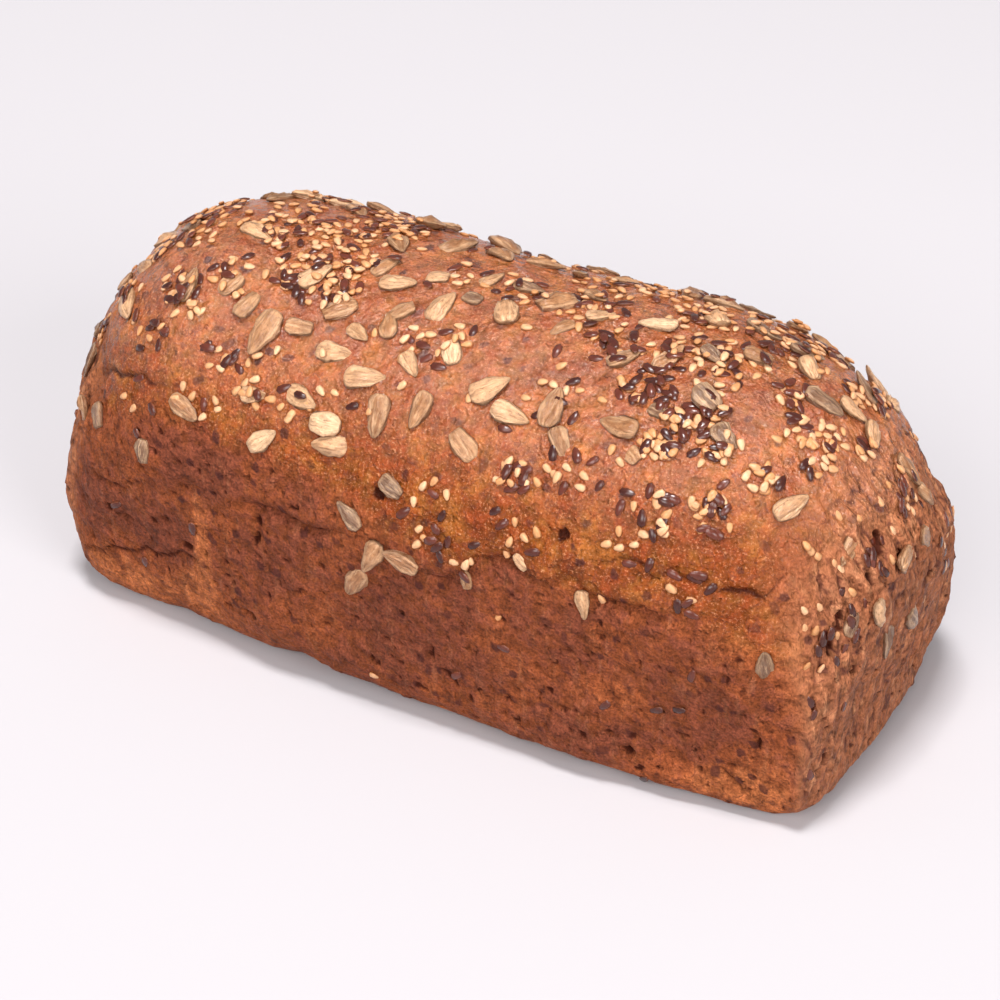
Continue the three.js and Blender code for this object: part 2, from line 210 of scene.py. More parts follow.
HANDFULS_ON_FRONT = (  # x, z
    (-79, 88, 8, 2, 5), (-52, 90, 8, 5, 6), (78, 85, 8, 10, 9), (59, 80, 9, 8, 9),
    (26, 78, 5, 10, 6), (38, 85, 8, 6, 5), (71, 59, 6, 3, 7), (7, 63, 7, 6, 3),
    (10, 54, 5, 2, 5), (27, 62, 7, 5, 3), (17, 50, 3, 3, 1), (56, 67, 7, 4, 2),
    (-55, 70, 6, 6, 1), (-42, 79, 5, 6, 1), (-32, 80, 6, 5, 2), (-18, 86, 8, 3, 1),
    (-77, 63, 10, 2, 3), (10, 30, 30, 2, 3), (60, 30, 30, 1, 5), (-60, 30, 25, 0, 3),
)
HANDFULS_ON_RIGHT_END = (  # y, z
    (-2, 90, 4, 7, 4), (3, 68, 6, 4, 8), (-16, 62, 5, 1, 8), (30, 71, 5, 6, 3),
    (20, 45, 12, 4, 6), (-33, 50, 6, 0, 6),
)

# Single small seeds that stand out on the right end: y, z
SESAME_ON_RIGHT_END = (
    (-45, 59), (-39, 58), (-45.5, 54), (-42, 53), (-33.5, 48.5), (-46.5, 43.5), (-40.5, 42),
    (-27, 57.5), (-20.5, 58.5), (-28, 63.5), (-30, 66), (-2, 54), (18.5, 38), (7.5, 45),
    (7.5, 35.5), (-8, 64), (-23.5, 78), (-17.5, 73.5), (-8.5, 73), (-2.5, 74.5), (5, 75),
    (-38, 74), (-35.5, 71), (-39.5, 76.5),
)
LINSEED_ON_RIGHT_END = (
    (-42, 47.5), (-37, 51), (-39.5, 50), (-35, 42.5), (-28.5, 47), (-28.5, 53.5), (-45, 16),
    (-31, 30), (-4, 43.5), (-23, 53.5), (-30, 59), (-14, 64.5), (-18.5, 61.5), (7, 62.5),
    (-46, 35), (-44.5, 31.5),
)

# Handfuls on the top that lie nearer the front than this are repeated towards the back
NEAR_FRONT = -8.0

# Small seeds: start of their random numbers, how often a place is tried, how far apart two lie as
# a share of their lengths, the chance that one stays on a kernel, and how many of the singles are
# sesame
SMALL_SEED_START = 21
SMALL_SEED_TRIES = 7
SMALL_SEED_CLEARANCE = 0.4
SHARE_ON_KERNELS = 0.3
SESAME_SHARE = 0.65

# Width and thickness as shares of the length, and the share of the thickness that stands out of
# the crust
SMALL_SEED_SHAPES = {"sesame": (0.66, 0.3, 0.7), "linseed": (0.52, 0.23, 0.68)}
KERNEL_PROUD = 0.68
PROUD_ON_ENDS = 0.45

# How each kind of seed is shaped: how pointed and blunt, dished, bent and tipped it is, the share
# that is broken off, how rough its outline is and how high its ridges stand
KERNEL_FORM = {
    "point": 0.42, "blunt": 0.25, "dish": 0.5, "bend": 0.5, "tip": 0.36, "broken": 0.25,
    "rough": 0.28, "ridge": 0.3,
}
SESAME_FORM = {
    "point": 0.34, "blunt": 0.1, "dish": 0.1, "bend": 0.1, "tip": 0.4, "broken": 0.0,
    "rough": 0.08, "ridge": 0.0,
}
LINSEED_FORM = {
    "point": 0.24, "blunt": 0.1, "dish": 0.2, "bend": 0.3, "tip": 0.3, "broken": 0.06,
    "rough": 0.06, "ridge": 0.0,
}

# How each kind looks: its pale rim, where the edge colour starts on its outline and underside
# (painted shade where it meets the crust, with toasting; on linseed partly a painted highlight),
# how strong its lines are, its roughness and shine, and how high its fine ridges stand, in metres
KERNEL_LOOK = {
    "rim": 0.3, "edge_from": 1.06, "lined": 0.45, "roughness": 0.3, "shine": 0.4,
    "ridges": 0.0012,
}
SESAME_LOOK = {
    "rim": 0.0, "edge_from": 0.78, "lined": 0.2, "roughness": 0.35, "shine": 0.35,
    "ridges": 0.0001,
}
LINSEED_LOOK = {
    "rim": 0.0, "edge_from": 0.9, "lined": 0.1, "roughness": 0.22, "shine": 0.45,
    "ridges": 0.00005,
}

# Relief of the crust in millimetres: reach and rise of its lumps, and how far buried seeds, pits,
# the corner's line and folds stand out or in
LUMPS = ((11, 0.5), (4.8, 0.28))
WRINKLE_RISE = 0.16
SMALL_LUMP = 2.6
SMALL_LUMP_RISE = 0.26
CRUMB_LUMP = 1.4
CRUMB_LUMP_RISE = 0.16
BURIED_RISE = 0.4
PIT_REACH = 1.9
PIT_DEPTH = 0.6
CORNER_LINE_RISE = 0.6
CORNER_HOLLOW = 0.4
FOLD_RISE = 0.8

# Furrows that run down the ends lie where a noise is zero: its reach across, down and along the
# loaf in millimetres, how near zero counts as a furrow, and the relief beside and in it
FURROW_REACH = (3.2, 14, 6)
NEAR_FURROW = 0.07
FURROW_RISE = 1.9
FURROW_FLOOR = 0.4

# Sizes in metres of the patterns in the crust, on the loaf and on its ends, and in the seeds
CLOUD = 0.028
BLOTCH = 0.007
MOTTLING = 0.0028
MOTTLING_ON_ENDS = 0.0016
GRAIN = 0.0006
GRAIN_ON_ENDS = 0.0004
STREAK = 0.010
STREAK_ON_ENDS = 0.007
FOLD_SIZE = 0.0036
SWIRL = 0.0016
SWIRL_REACH = 0.003
SEED_PATCH = 0.0016
SEED_SPECK = 0.0006

# Spots in the crust: spacing in metres, share of the places that hold one, and radius. The specks
# are dark marks in the crust; the pits are painted shade.
SPECKS = (0.0042, 0.45, 0.0007)
LEVEL_PITS = (0.006, 0.45, 0.0010)
UPRIGHT_PITS = (0.0065, 0.5, 0.0012)

# Heights in metres: where the dome starts to shine, where the skin starts to turn redder and
# paler (partly painted sheen), and where both are complete
SHINE_FROM = 0.062
CROWN_FROM = 0.052
CROWN_TO = 0.088

# Depth in metres of the crust's bumps
STREAK_BUMP = 0.0014
FOLD_BUMP = 0.0034
MOTTLING_BUMP = 0.0022
GRAIN_BUMP = 0.0006

# The camera: how it stands round the loaf, and its lens
CAMERA_AZIMUTH = 28.75
CAMERA_ELEVATION = 34.4
CAMERA_DISTANCE = 0.68
CAMERA_LENS = 105.4
CAMERA_AIM_HEIGHT = 0.047
CAMERA_ASIDE = -0.00035
CAMERA_LIFT = -0.0118

# The studio: place, size and power of each softbox, the light from all round, and the floor
SOFTBOXES = (
    ("softbox_above", (0.05, -0.3, 2.1), (0.45, 0.4), 43.0),
    ("softbox_front", (0.2, -4.4, 3.2), (3.2, 2.4), 180.0),
    ("softbox_right", (4.3, -2.1, 2.5), (2.4, 2.4), 162.0),
)
SOFTBOX_AIM = (0, 0, 0.05)
LIGHT_ALL_ROUND = 0.35
FLOOR_HALF_SIZE = 3


def distance(name, description, default):
    return FloatProperty(name=name, description=description, default=default, unit="LENGTH")


class LoafBlock(bpy.types.PropertyGroup):
    """Size of the block of dough that the loaf is shaped from"""

    length: distance("Length", "Along the loaf, over the crust", 0.209)
    width: distance("Width", "Across the loaf, over the crust", 0.098)
    height: distance("Height", "From the base to the crown", 0.0915)
    grid: distance("Crust Grid", "Spacing of the crust's vertices", 0.00087)


class SeedSizes(bpy.types.PropertyGroup):
    """Sizes of the three kinds of seed"""

    kernel_width: FloatProperty(
        name="Kernel Width", description="Width as a share of a kernel's length", default=0.5,
        subtype="FACTOR")
    kernel_thickness: FloatProperty(
        name="Kernel Thickness", description="Thickness as a share of its length", default=0.23,
        subtype="FACTOR")
    sesame: distance("Sesame", "Length of a sesame seed", 0.0028)
    linseed: distance("Linseed", "Length of a linseed", 0.0039)
    singles: IntProperty(
        name="Singles", description="Small seeds that lie alone", default=90)


def srgb(code):
    """Linear colour of an sRGB hex value."""
    parts = [int(code[i:i + 2], 16) / 255 for i in (1, 3, 5)]
    linear = [c / 12.92 if c <= 0.04045 else ((c + 0.055) / 1.055) ** 2.4 for c in parts]
    return (*linear, 1.0)


def colour(name, description, code):
    return FloatVectorProperty(
        name=name, description=description, default=srgb(code), size=4, subtype="COLOR",
        min=0, max=1)


class CrustColours(bpy.types.PropertyGroup):
    """Colours of the crust"""

    golden: colour("Golden Skin", "Smooth skin of the upper side", "#884319")
    russet: colour("Russet", "Darker red-brown blotches in the skin", "#863a1a")
    amber: colour("Amber", "Paler yellow blotches in the skin", "#c27534")
    # The dome's skin: partly its own browning, partly painted sheen that makes it paler
    crown: colour("Crown", "Redder skin on the dome", "#ab5e33")
    tin_side: colour("Tin Side", "Crust that baked against the tin", "#944d2b")
    ember: colour("Ember", "Paler orange streaks in the tin side", "#b66a3e")
    # Dark patches and streaks, and painted shade in fine cracks
    dark_and_shade: colour("Dark Patch", "Purple-brown patches", "#713b2b")
    # Painted shade: the darkest colour, laid into creases, folds, holes and pits
    crease: colour("Crease", "Bottom of creases and holes", "#3f170b")
    # Seeds under the skin, and painted shade at the bottoms of the end's furrows
    buried: colour("Buried Seed", "Seeds that show through the skin", "#4a2521")
    end_face: colour("End Face", "Torn rough crust of the ends", "#9e6647")
    # Pale fibres, and painted highlights: glints on the skin, fold edges on the ends, the corner's
    # line
    fibre_and_highlight: colour("Fibre", "Thin pale edges of folds and fibres", "#dc9b70")


class SeedColours(bpy.types.PropertyGroup):
    """Colours of the seeds"""

    kernel_bright: colour("Kernel Bright", "Cream of the palest kernels", "#e5ba91")
    kernel_pale: colour("Kernel Pale", "Cream of a sunflower kernel", "#cd9d74")
    kernel_tan: colour("Kernel Tan", "Toasted tan of a kernel", "#a4724c")
    kernel_grey: colour("Kernel Grey", "Grey-brown skin left on a kernel", "#795a45")
    # Browned outline: partly toasting, partly painted shade where the kernel meets the crust
    kernel_edge_and_shade: colour("Kernel Edge", "Browned outline of a kernel", "#6b3a1a")
    sesame_pale: colour("Sesame Pale", "Cream of a sesame seed", "#e2b188")
    sesame_gold: colour("Sesame Gold", "Toasted sesame", "#cb8f5d")
    # Browned outline: partly toasting, partly painted shade where the seed meets the crust
    sesame_edge_and_shade: colour("Sesame Edge", "Browned outline of a sesame seed", "#965727")
    linseed: colour("Linseed", "Purple-brown linseed", "#5f2b1e")
    linseed_dark: colour("Linseed Dark", "Darkest linseed", "#3a1813")
    # Paler edge: partly the seed's own colour, partly a painted highlight on its rim
    linseed_edge_and_highlight: colour("Linseed Edge", "Thin edge of a linseed", "#80492f")


def mix(low, high, share):
    return low + (high - low) * share


def smooth(low, high, value):
    t = min(max((value - low) / (high - low), 0.0), 1.0)
    return t * t * (3 - 2 * t)


def clamp_to_core(value, half, radius):
    return min(max(value, radius - half), half - radius)


def along_points(points, x):
    """Value at x on a line through points of (x, value)."""
    for (x0, v0), (x1, v1) in zip(points, points[1:]):
        if x <= x1:
            return mix(v0, v1, smooth(x0, x1, x))
    return points[-1][1]


def seeded_random(seed):
    """Repeatable random numbers from 0 to 1, each the same as in the part's source."""
    word = 0xFFFFFFFF
    state = seed

    def draw():
        nonlocal state
        state = (state + 0x6D2B79F5) & word
        t = ((state ^ (state >> 15)) * (state | 1)) & word
        t ^= (t + ((t ^ (t >> 7)) * (t | 61) & word)) & word
        return (t ^ (t >> 14)) / 4294967296

    return draw


def block_size():
    """Length, width and height of the block in millimetres."""
    block = bpy.context.scene.loaf_block
    return block.length / MM, block.width / MM, block.height / MM


def on_rim_line(x):
    """Height and share of the depth of the rim's line at a place along it."""
    i = 1
    while i < len(RIM_LINE) - 1 and RIM_LINE[i][0] < x:
        i += 1
    x0, z0, share0 = RIM_LINE[i - 1]
    x1, z1, share1 = RIM_LINE[i]
    t = smooth(x0, x1, x)
    return mix(z0, z1, t), mix(share0, share1, t)


def rim_crease(x, y, half_width):
    """Height of the rim's crease, and its share of the full depth."""
    front_height, front_share = on_rim_line(x)
    back_height, back_share = on_rim_line(-x)
    back = smooth(-0.8, 0.8, y / half_width)
    return mix(front_height, back_height, back), mix(front_share, back_share, back)


def corner_ridge(z, out):
    """How far the ridge stands out at the corners that have one."""
    if out.x * out.y >= 0:
        return 0.0
    from_corner = math.atan2(abs(out.y), abs(out.x)) - math.pi / 4
    below = 1 - smooth(0.6 * RIDGE_TOP, RIDGE_TOP, z)
    return RIDGE_RISE * math.exp(-((from_corner / RIDGE_SPREAD) ** 2)) * below


def relief(x, y, z, out, half_width):
    """How far the crust stands out from the smooth form at a point."""
    rim, share = rim_crease(x, y, half_width)
    above = z - rim
    groove = -CREASE_DEPTH * share * math.exp(-((above / CREASE_HALF_WIDTH) ** 2))
    reach = OVERHANG_REACH if above > 0 else OVERHANG_REACH / 3
    sign = 1 if above > 0 else -0.5
    fullness = mix(OVERHANG_SHARE, 1, share)
    bulge = sign * OVERHANG * fullness * math.exp(-abs(above) / reach)
    waves = math.sin(x / 11 + 2 * math.sin(z / 19)) * math.sin(y / 13 + z / 17 + 1.3)
    waves += 0.6 * math.sin(x / 5.3 - z / 8 + 0.7) * math.sin(y / 7.1 + x / 21)
    at_lower_edge = smooth(0.7, 0.85, -y / half_width) * (1 - smooth(0, NICK_HEIGHT, z))
    nicks = 0.0
    for place, half, depth in NICKS:
        nicks += depth * math.exp(-(((x - place) / half) ** 2)) * at_lower_edge
    clear_of_base = smooth(1, 9, z)
    ridge = corner_ridge(z, out)
    return (groove + bulge + waves * UNEVENNESS + ridge) * clear_of_base - nicks


def loaf_point(block_x, block_y, block_z, size):
    """Carries a point of the block's surface onto the loaf, and gives the way out there."""
    half_length, half_width, half_height = (s / 2 for s in size)
    height = size[2]
    a = block_x / half_length
    c = block_z / half_height - 1
    upper = smooth(-0.6, 0.5, c)
    towards_right = smooth(-0.8, 0.8, a)
    corner = mix(CORNER_LEFT, CORNER_RIGHT, towards_right)
    shoulder = SHOULDER_RIGHT if a > 0 else SHOULDER_LEFT
    radius_x = mix(corner, shoulder, upper)
    radius_y = mix(corner, half_width, upper)
    radius_z = DOME if c > 0 else mix(BASE_EDGE_LEFT, BASE_EDGE_RIGHT, towards_right)
    power = DOME_POWER if c > 0 else 2
    core_x = clamp_to_core(block_x, half_length, radius_x)
    core_y = clamp_to_core(block_y, half_width, radius_y)
    core_z = clamp_to_core(block_z - half_height, half_height, radius_z)
    way_x = (block_x - core_x) / radius_x
    way_y = (block_y - core_y) / radius_y
    way_z = (block_z - half_height - core_z) / radius_z
    length = (abs(way_x) ** power + abs(way_y) ** power + abs(way_z) ** power) ** (1 / power)
    x = core_x + radius_x * way_x / length
    y = core_y + radius_y * way_y / length
    z = core_z + radius_z * way_z / length + half_height

    low = 1 - smooth(0, TAPER_TOP, z / height)
    swell_end = SWELL_RIGHT if x > 0 else SWELL_LEFT
    along_share = x / half_length
    across_share = y / half_width
    pulled_x = math.copysign(swell_end * along_share ** 4 * across_share ** 2, x)
    pulled_y = math.copysign(SWELL_SIDES * across_share ** 4 * along_share ** 2, y)
    x = x * (1 - TAPER_ENDS * low) - pulled_x
    y = y * (1 - TAPER_SIDES * low) - pulled_y
    z -= CROWN_SAG * (z / height) ** 3 * (1 - along_share ** 2)
    out = Vector((way_x, way_y, way_z)).normalized()
    return Vector((x, y, z)) + out * relief(x, y, z, out, half_width), out


def block_place(face, first, second, size):
    """A place on one face of the block, from the face's two directions."""
    length, width, height = size
    return {
        "top": (first, second, height),
        "front": (first, -width / 2, second),
        "back": (first, width / 2, second),
        "right": (length / 2, first, second),
        "left": (-length / 2, first, second),
    }[face]


def fold_at(x, z):
    """Height of the folds at a place on the front, and how deep in a fold it lies."""
    height = 0.0
    depth = 0.0
    for deepest, line in FOLDS:
        start, end = line[0][0], line[-1][0]
        if not start - 3 < x < end + 3:
            continue
        above = z - along_points(line, x) - 0.5 * math.sin(x / 1.7) - 0.3 * math.sin(x / 0.9)
        if not -3 < above < 3 * FOLD_REACH:
            continue
        share = deepest * smooth(start - 3, start + 3, x) * (1 - smooth(end - 3, end + 3, x))
        groove = math.exp(-((above / 0.8) ** 2))
        height -= share * groove
        if above > 0:
            height += 0.8 * share * math.exp(-above / FOLD_REACH) * smooth(0, 1.2, above)
        depth = max(depth, share * groove)
    return height, depth


def patch_at(x, z):
    """How brown the patches make the crust at a place on the front."""
    brown = 0.0
    for middle_x, middle_z, half_width, half_height, strength in PATCHES:
        e = ((x - middle_x) / half_width) ** 2 + ((z - middle_z) / half_height) ** 2
        if e < 4:
            brown += strength * math.exp(-e)
    return brown


def corner_line(z, out):
    """The sharp line of the corners that have a ridge, and the hollow beside it on the end."""
    if out.x * out.y >= 0:
        return 0.0, 0.0
    from_corner = math.atan2(abs(out.y), abs(out.x)) - math.pi / 4 + 0.04 * math.sin(z / 4)
    below = smooth(2, 8, z) * (1 - smooth(46, 62, z))
    line = math.exp(-((from_corner / 0.055) ** 2))
    beside = math.exp(-(((from_corner + 0.26) / 0.12) ** 2))
    return line * below, beside * below


def buried_seed(point):
    """From 0 to 1 where a seed lies just under the skin: seeds are points in the dough."""
    spacing = 5.6
    _, nearest = noise.voronoi(point / spacing)
    seed = nearest[0]
    way = noise.noise_vector(seed * 7.3).normalized()
    away = point - seed * spacing
    lengthwise = away.dot(way)
    sideways = math.sqrt(max(away.length_squared - lengthwise ** 2, 0.0))
    return max(0.0, 1 - (lengthwise / 2.1) ** 2 - (sideways / 1.1) ** 2)


def torn_holes(size):
    """The holes on the loaf, and the same turned round to its hidden sides: middle, the ways
    along and across, half sizes and depth."""
    opposite = Matrix.Rotation(math.pi, 4, "Z")
    holes = []
    for face, first, second, length, width, turn, depth in HOLES:
        middle, out = loaf_point(*block_place(face, first, second, size), size)
        ahead, _ = loaf_point(*block_place(face, first + 0.5, second, size), size)
        along = ahead - middle
        along = (along - out * along.dot(out)).normalized()
        across = out.cross(along)
        angle = math.radians(turn)
        way = along * math.cos(angle) + across * math.sin(angle)
        sizes = (length / 2, width / 2, depth)
        holes.append((middle, way, out.cross(way), *sizes))
        holes.append((opposite @ middle, opposite @ way, opposite @ out.cross(way), *sizes))
    return holes


def hole_at(point, holes):
    """Depth of the torn holes at a point."""
    depth = 0.0
    for middle, way, across, half_length, half_width, deepest in holes:
        away = point - middle
        if away.length_squared > 64:
            continue
        ragged = 0.5 * noise.noise(point / 1.3)
        e = (away.dot(way) / half_length) ** 2 + (away.dot(across) / half_width) ** 2 + ragged
        if e < 1.6:
            depth = max(depth, deepest * (1 - smooth(0.3, 1.6, e)))
    return depth


def end_furrows(point):
    """Relief of the furrowed ends at a point in millimetres, and from 0 to 1 how near the bottoms
    of the furrows it lies, where shade is painted."""
    x, y, z = point
    across, down, along = FURROW_REACH
    from_furrow = abs(noise.noise(Vector((y / across, z / down, x / along))))
    down_end = noise.noise(Vector((y / 1.7, (z + x) / 9, 5)))
    clear_of_base = smooth(3, 14, z)
    height = (FURROW_RISE * from_furrow - FURROW_FLOOR + 0.5 * down_end) * clear_of_base
    return height, math.exp(-((from_furrow / NEAR_FURROW) ** 2)) * clear_of_base


def lumps(point, skin, tin):
    """Uneven surface of the crust in millimetres: finely wrinkled skin, and rough sides."""
    x, y, z = point
    height = sum(rise * noise.noise(point / reach) for reach, rise in LUMPS)
    height += WRINKLE_RISE * noise.noise(Vector((x / 1.7, (y + z) / 9, 0))) * skin
    height += SMALL_LUMP_RISE * noise.noise(point / SMALL_LUMP) * mix(0.8, 1, tin)
    return height + CRUMB_LUMP_RISE * noise.noise(point / CRUMB_LUMP) * tin


def crust_detail(point, out, holes):
    """Fine relief at a point of the loaf in millimetres, what the baking did there and where shade
    is
    painted: smooth skin, painted shade in creases, folds, holes and pits, buried seed, and brown
    patch with painted shade in the hollow beside the corner's line; then end face, corner's line
    and painted shade at the bottoms of the end's furrows, each from 0 to 1."""
    x, y, z = point
    ends = smooth(0.5, 0.85, abs(out.x))
    on_side = (1 - smooth(0.35, 0.75, abs(out.z))) * (1 - ends)
    around = x if y < 0 else -x
    edge = along_points(SKIN_EDGE, around) + 3 * noise.noise(Vector((x, y, 3)) / 9)
    skin = smooth(edge - 4, edge + 4, z)
    skin *= 1 - ends * (1 - smooth(58, 72, z))
    tin = (1 - skin) * smooth(1, 5, z)

    furrowed, furrow_shade = end_furrows(point)
    height = lumps(point, skin, tin) + ends * furrowed
    buried = buried_seed(point)
    height += BURIED_RISE * buried * (1 - 0.4 * skin)
    pit = smooth(0.38, 0.6, noise.noise(point / PIT_REACH + Vector((40, 0, 0)))) * tin
    height -= PIT_DEPTH * pit

    rim, share = rim_crease(x, y, block_size()[1] / 2)
    kept = share * smooth(-0.25, 0.2, noise.noise(Vector((x / 8, y / 8, 50))))
    groove = math.exp(-(((z - rim) / CREASE_HALF_WIDTH) ** 2)) * on_side
    height += CREASE_DEPTH * (share - kept) * groove
    crease = kept * math.exp(-(((z - rim) / (CREASE_HALF_WIDTH / 2)) ** 2)) * on_side
    height -= CREASE_DEPTH / 4 * crease
    corner, beside = corner_line(z, out)
    height += CORNER_LINE_RISE * corner - CORNER_HOLLOW * beside
    folded, in_fold = fold_at(around, z)
    height += FOLD_RISE * folded * on_side
    hole = hole_at(point, holes)
    height -= hole

    brown = 0.3 * noise.noise(point / 17 + Vector((0, 9, 0))) + 0.2 * tin
    brown += 0.6 * patch_at(around, z) * (1 - ends) * (1 - smooth(0.5, 0.8, out.z))
    # Painted shade: browner in the hollow beside the corner's line
    brown += 0.2 * beside
    # Painted shade in the crease, the folds, the holes and the pits
    torn = max(0.6 * crease, 0.75 * in_fold * on_side, min(0.9, 0.6 * hole), 0.6 * pit)
    height *= smooth(0.3, 3.5, z)
    baked = (skin, torn, buried, min(max(brown, -1.0), 1.0))
    return height, baked, (ends, corner, furrow_shade * ends)


def even_grid(share, straight, radius):
    """Place on the block of a share of its half length, closer set round the shoulder."""
    whole = straight + radius
    arc = radius * math.pi / 4
    place = abs(share) * (straight + arc)
    if place > straight:
        place = straight + radius * math.tan((place - straight) / radius)
    return math.copysign((place + abs(share) * whole) / 2, share)


def add_node(tree, kind, inputs=None, **settings):
    """Adds a node with its settings, and with values or links on its inputs."""
    node = tree.nodes.new(kind)
    for name, value in settings.items():
        setattr(node, name, value)
    for name, value in (inputs or {}).items():
        if isinstance(value, bpy.types.NodeSocket):
            tree.links.new(value, node.inputs[name])
        else:
            node.inputs[name].default_value = value
    return node


def new_material(name):
    """An empty material with its shader, and its node tree."""
    material = bpy.data.materials.new(name)
    material.use_nodes = True
    tree = material.node_tree
    tree.nodes.clear()
    shader = add_node(tree, "ShaderNodeBsdfPrincipled")
    add_node(tree, "ShaderNodeOutputMaterial", {"Surface": shader.outputs["BSDF"]})
    return material, tree, shader


def noise_pattern(tree, vector, size, detail, roughness=0.6):
    """Noise with clouds of the given size in metres."""
    return add_node(tree, "ShaderNodeTexNoise", {
        "Vector": vector, "Scale": 1 / size, "Detail": detail, "Roughness": roughness}).outputs[0]


def remap(tree, value, low, high, to_low=0.0, to_high=1.0):
    """A smooth step from one range to another."""
    return add_node(tree, "ShaderNodeMapRange", {
        "Value": value, "From Min": low, "From Max": high, "To Min": to_low, "To Max": to_high,
    }, interpolation_type="SMOOTHSTEP").outputs[0]


def blend(tree, share, low, high, mode="MIX"):
    return add_node(tree, "ShaderNodeMix", {
        0: share, 6: low, 7: high}, data_type="RGBA", blend_type=mode).outputs[2]


def either(tree, share, low, high):
    return add_node(tree, "ShaderNodeMix", {0: share, 2: low, 3: high}).outputs[0]


def compute(tree, operation, *values):
    return add_node(
        tree, "ShaderNodeMath", dict(enumerate(values)), operation=operation).outputs[0]


def scaled(tree, vector, factors):
    return add_node(
        tree, "ShaderNodeVectorMath", {0: vector, 1: factors}, operation="MULTIPLY").outputs[0]


def spots(tree, vector, spacing, share, radius):
    """Scattered spots, some faint and some strong: the share of the places that hold one, and
    its radius."""
    cells = add_node(tree, "ShaderNodeTexVoronoi", {"Vector": vector, "Scale": 1 / spacing})
    lot, vigour, _ = add_node(
        tree, "ShaderNodeSeparateColor", {"Color": cells.outputs["Color"]}).outputs
    near = remap(tree, cells.outputs["Distance"], 1.5 * radius / spacing, 0.4 * radius / spacing)
    near = compute(tree, "MULTIPLY", near, remap(tree, vigour, 0.0, 0.8, 0.3, 1.0))
    return compute(tree, "MULTIPLY", near, remap(tree, lot, 1 - share, 1.01 - share))


class CrustPatterns:
    """What the crust's colour, sheen and bumps share: how each place was baked, whether it lies
    on an end, and patterns of several sizes."""

    def __init__(self, tree):
        self.tree = tree
        place = add_node(tree, "ShaderNodeTexCoord").outputs["Object"]
        self.height = add_node(tree, "ShaderNodeSeparateXYZ", {"Vector": place}).outputs["Z"]
        # The ends, the corner's line, and painted shade at the bottoms of the end's furrows
        faces = add_node(tree, "ShaderNodeAttribute", attribute_name="faces").outputs["Vector"]
        self.ends, self.corner, self.furrow_shade = add_node(
            tree, "ShaderNodeSeparateXYZ", {"Vector": faces}).outputs
        # The baking: smooth skin, painted shade in creases, folds, holes and pits, buried seed,
        # and brown patches with painted shade beside the corner's line
        bake = add_node(tree, "ShaderNodeAttribute", attribute_name="bake")
        self.skin, self.torn, self.buried = add_node(
            tree, "ShaderNodeSeparateColor", {"Color": bake.outputs["Color"]}).outputs
        self.brown = bake.outputs["Alpha"]
        self.rough = compute(tree, "SUBTRACT", 1.0, compute(tree, "MULTIPLY", self.skin, 0.85))

        fibres = scaled(tree, place, (1.0, 1.0, 0.5))
        self.clouds = noise_pattern(tree, place, CLOUD, 3.0)
        self.blotches = noise_pattern(tree, place, BLOTCH, 3.0)
        self.mottling = either(
            tree, self.ends, noise_pattern(tree, place, MOTTLING, 4.0),
            noise_pattern(tree, fibres, MOTTLING_ON_ENDS, 3.0))
        self.grain = either(
            tree, self.ends, noise_pattern(tree, place, GRAIN, 3.0, 0.7),
            noise_pattern(tree, fibres, GRAIN_ON_ENDS, 2.0, 0.7))
        along_side = scaled(tree, place, (6.0, 1.0, 1.0))
        along_end = scaled(tree, place, (1.0, 3.0, 1.0))
        self.streaks = either(
            tree, self.ends, noise_pattern(tree, along_side, STREAK, 3.0, 0.65),
            noise_pattern(tree, along_end, STREAK_ON_ENDS, 3.0))
        self.folds = noise_pattern(tree, place, FOLD_SIZE, 2.0, 0.5)

        swirl = add_node(tree, "ShaderNodeTexNoise", {
            "Vector": place, "Scale": 1 / SWIRL, "Detail": 2.0}).outputs["Color"]
        swirled = add_node(tree, "ShaderNodeVectorMath", {
            0: swirl, 1: (SWIRL_REACH,) * 3, 2: place}, operation="MULTIPLY_ADD").outputs[0]
        self.specks = spots(tree, swirled, *SPECKS)
        # Pits: small holes with no relief, where shade is painted dark
        pits = compute(
            tree, "MAXIMUM", spots(tree, scaled(tree, swirled, (1.0, 1.0, 2.4)), *LEVEL_PITS),
            spots(tree, scaled(tree, swirled, (2.0, 2.0, 1.0)), *UPRIGHT_PITS))
        pitted = compute(
            tree, "MULTIPLY", self.rough, remap(tree, self.brown, -0.5, 0.6, 0.5, 1.2))
        self.pits = compute(tree, "MULTIPLY", pits, pitted)

    def by_end(self, elsewhere, on_ends):
        """A value that is another one on the ends."""
        return remap(self.tree, self.ends, 0.0, 1.0, elsewhere, on_ends)


def skin_colour(tree, crust):
    """The smooth skin: golden low down, redder towards the crown and paler there, partly painted
    sheen, with russet and amber blotches."""
    colours = bpy.context.scene.crust_colours
    crown = compute(tree, "ADD", remap(tree, crust.height, CROWN_FROM, CROWN_TO), crust.clouds)
    base = blend(tree, remap(tree, crown, 0.6, 1.4), colours.golden, colours.crown)
    russet = compute(tree, "MULTIPLY_ADD", crust.mottling, 0.8, crust.blotches)
    base = blend(tree, remap(tree, russet, 0.88, 1.12, 0.0, 0.8), base, colours.russet)
    return blend(tree, remap(tree, russet, 0.9, 0.7, 0.0, 0.55), base, colours.amber)


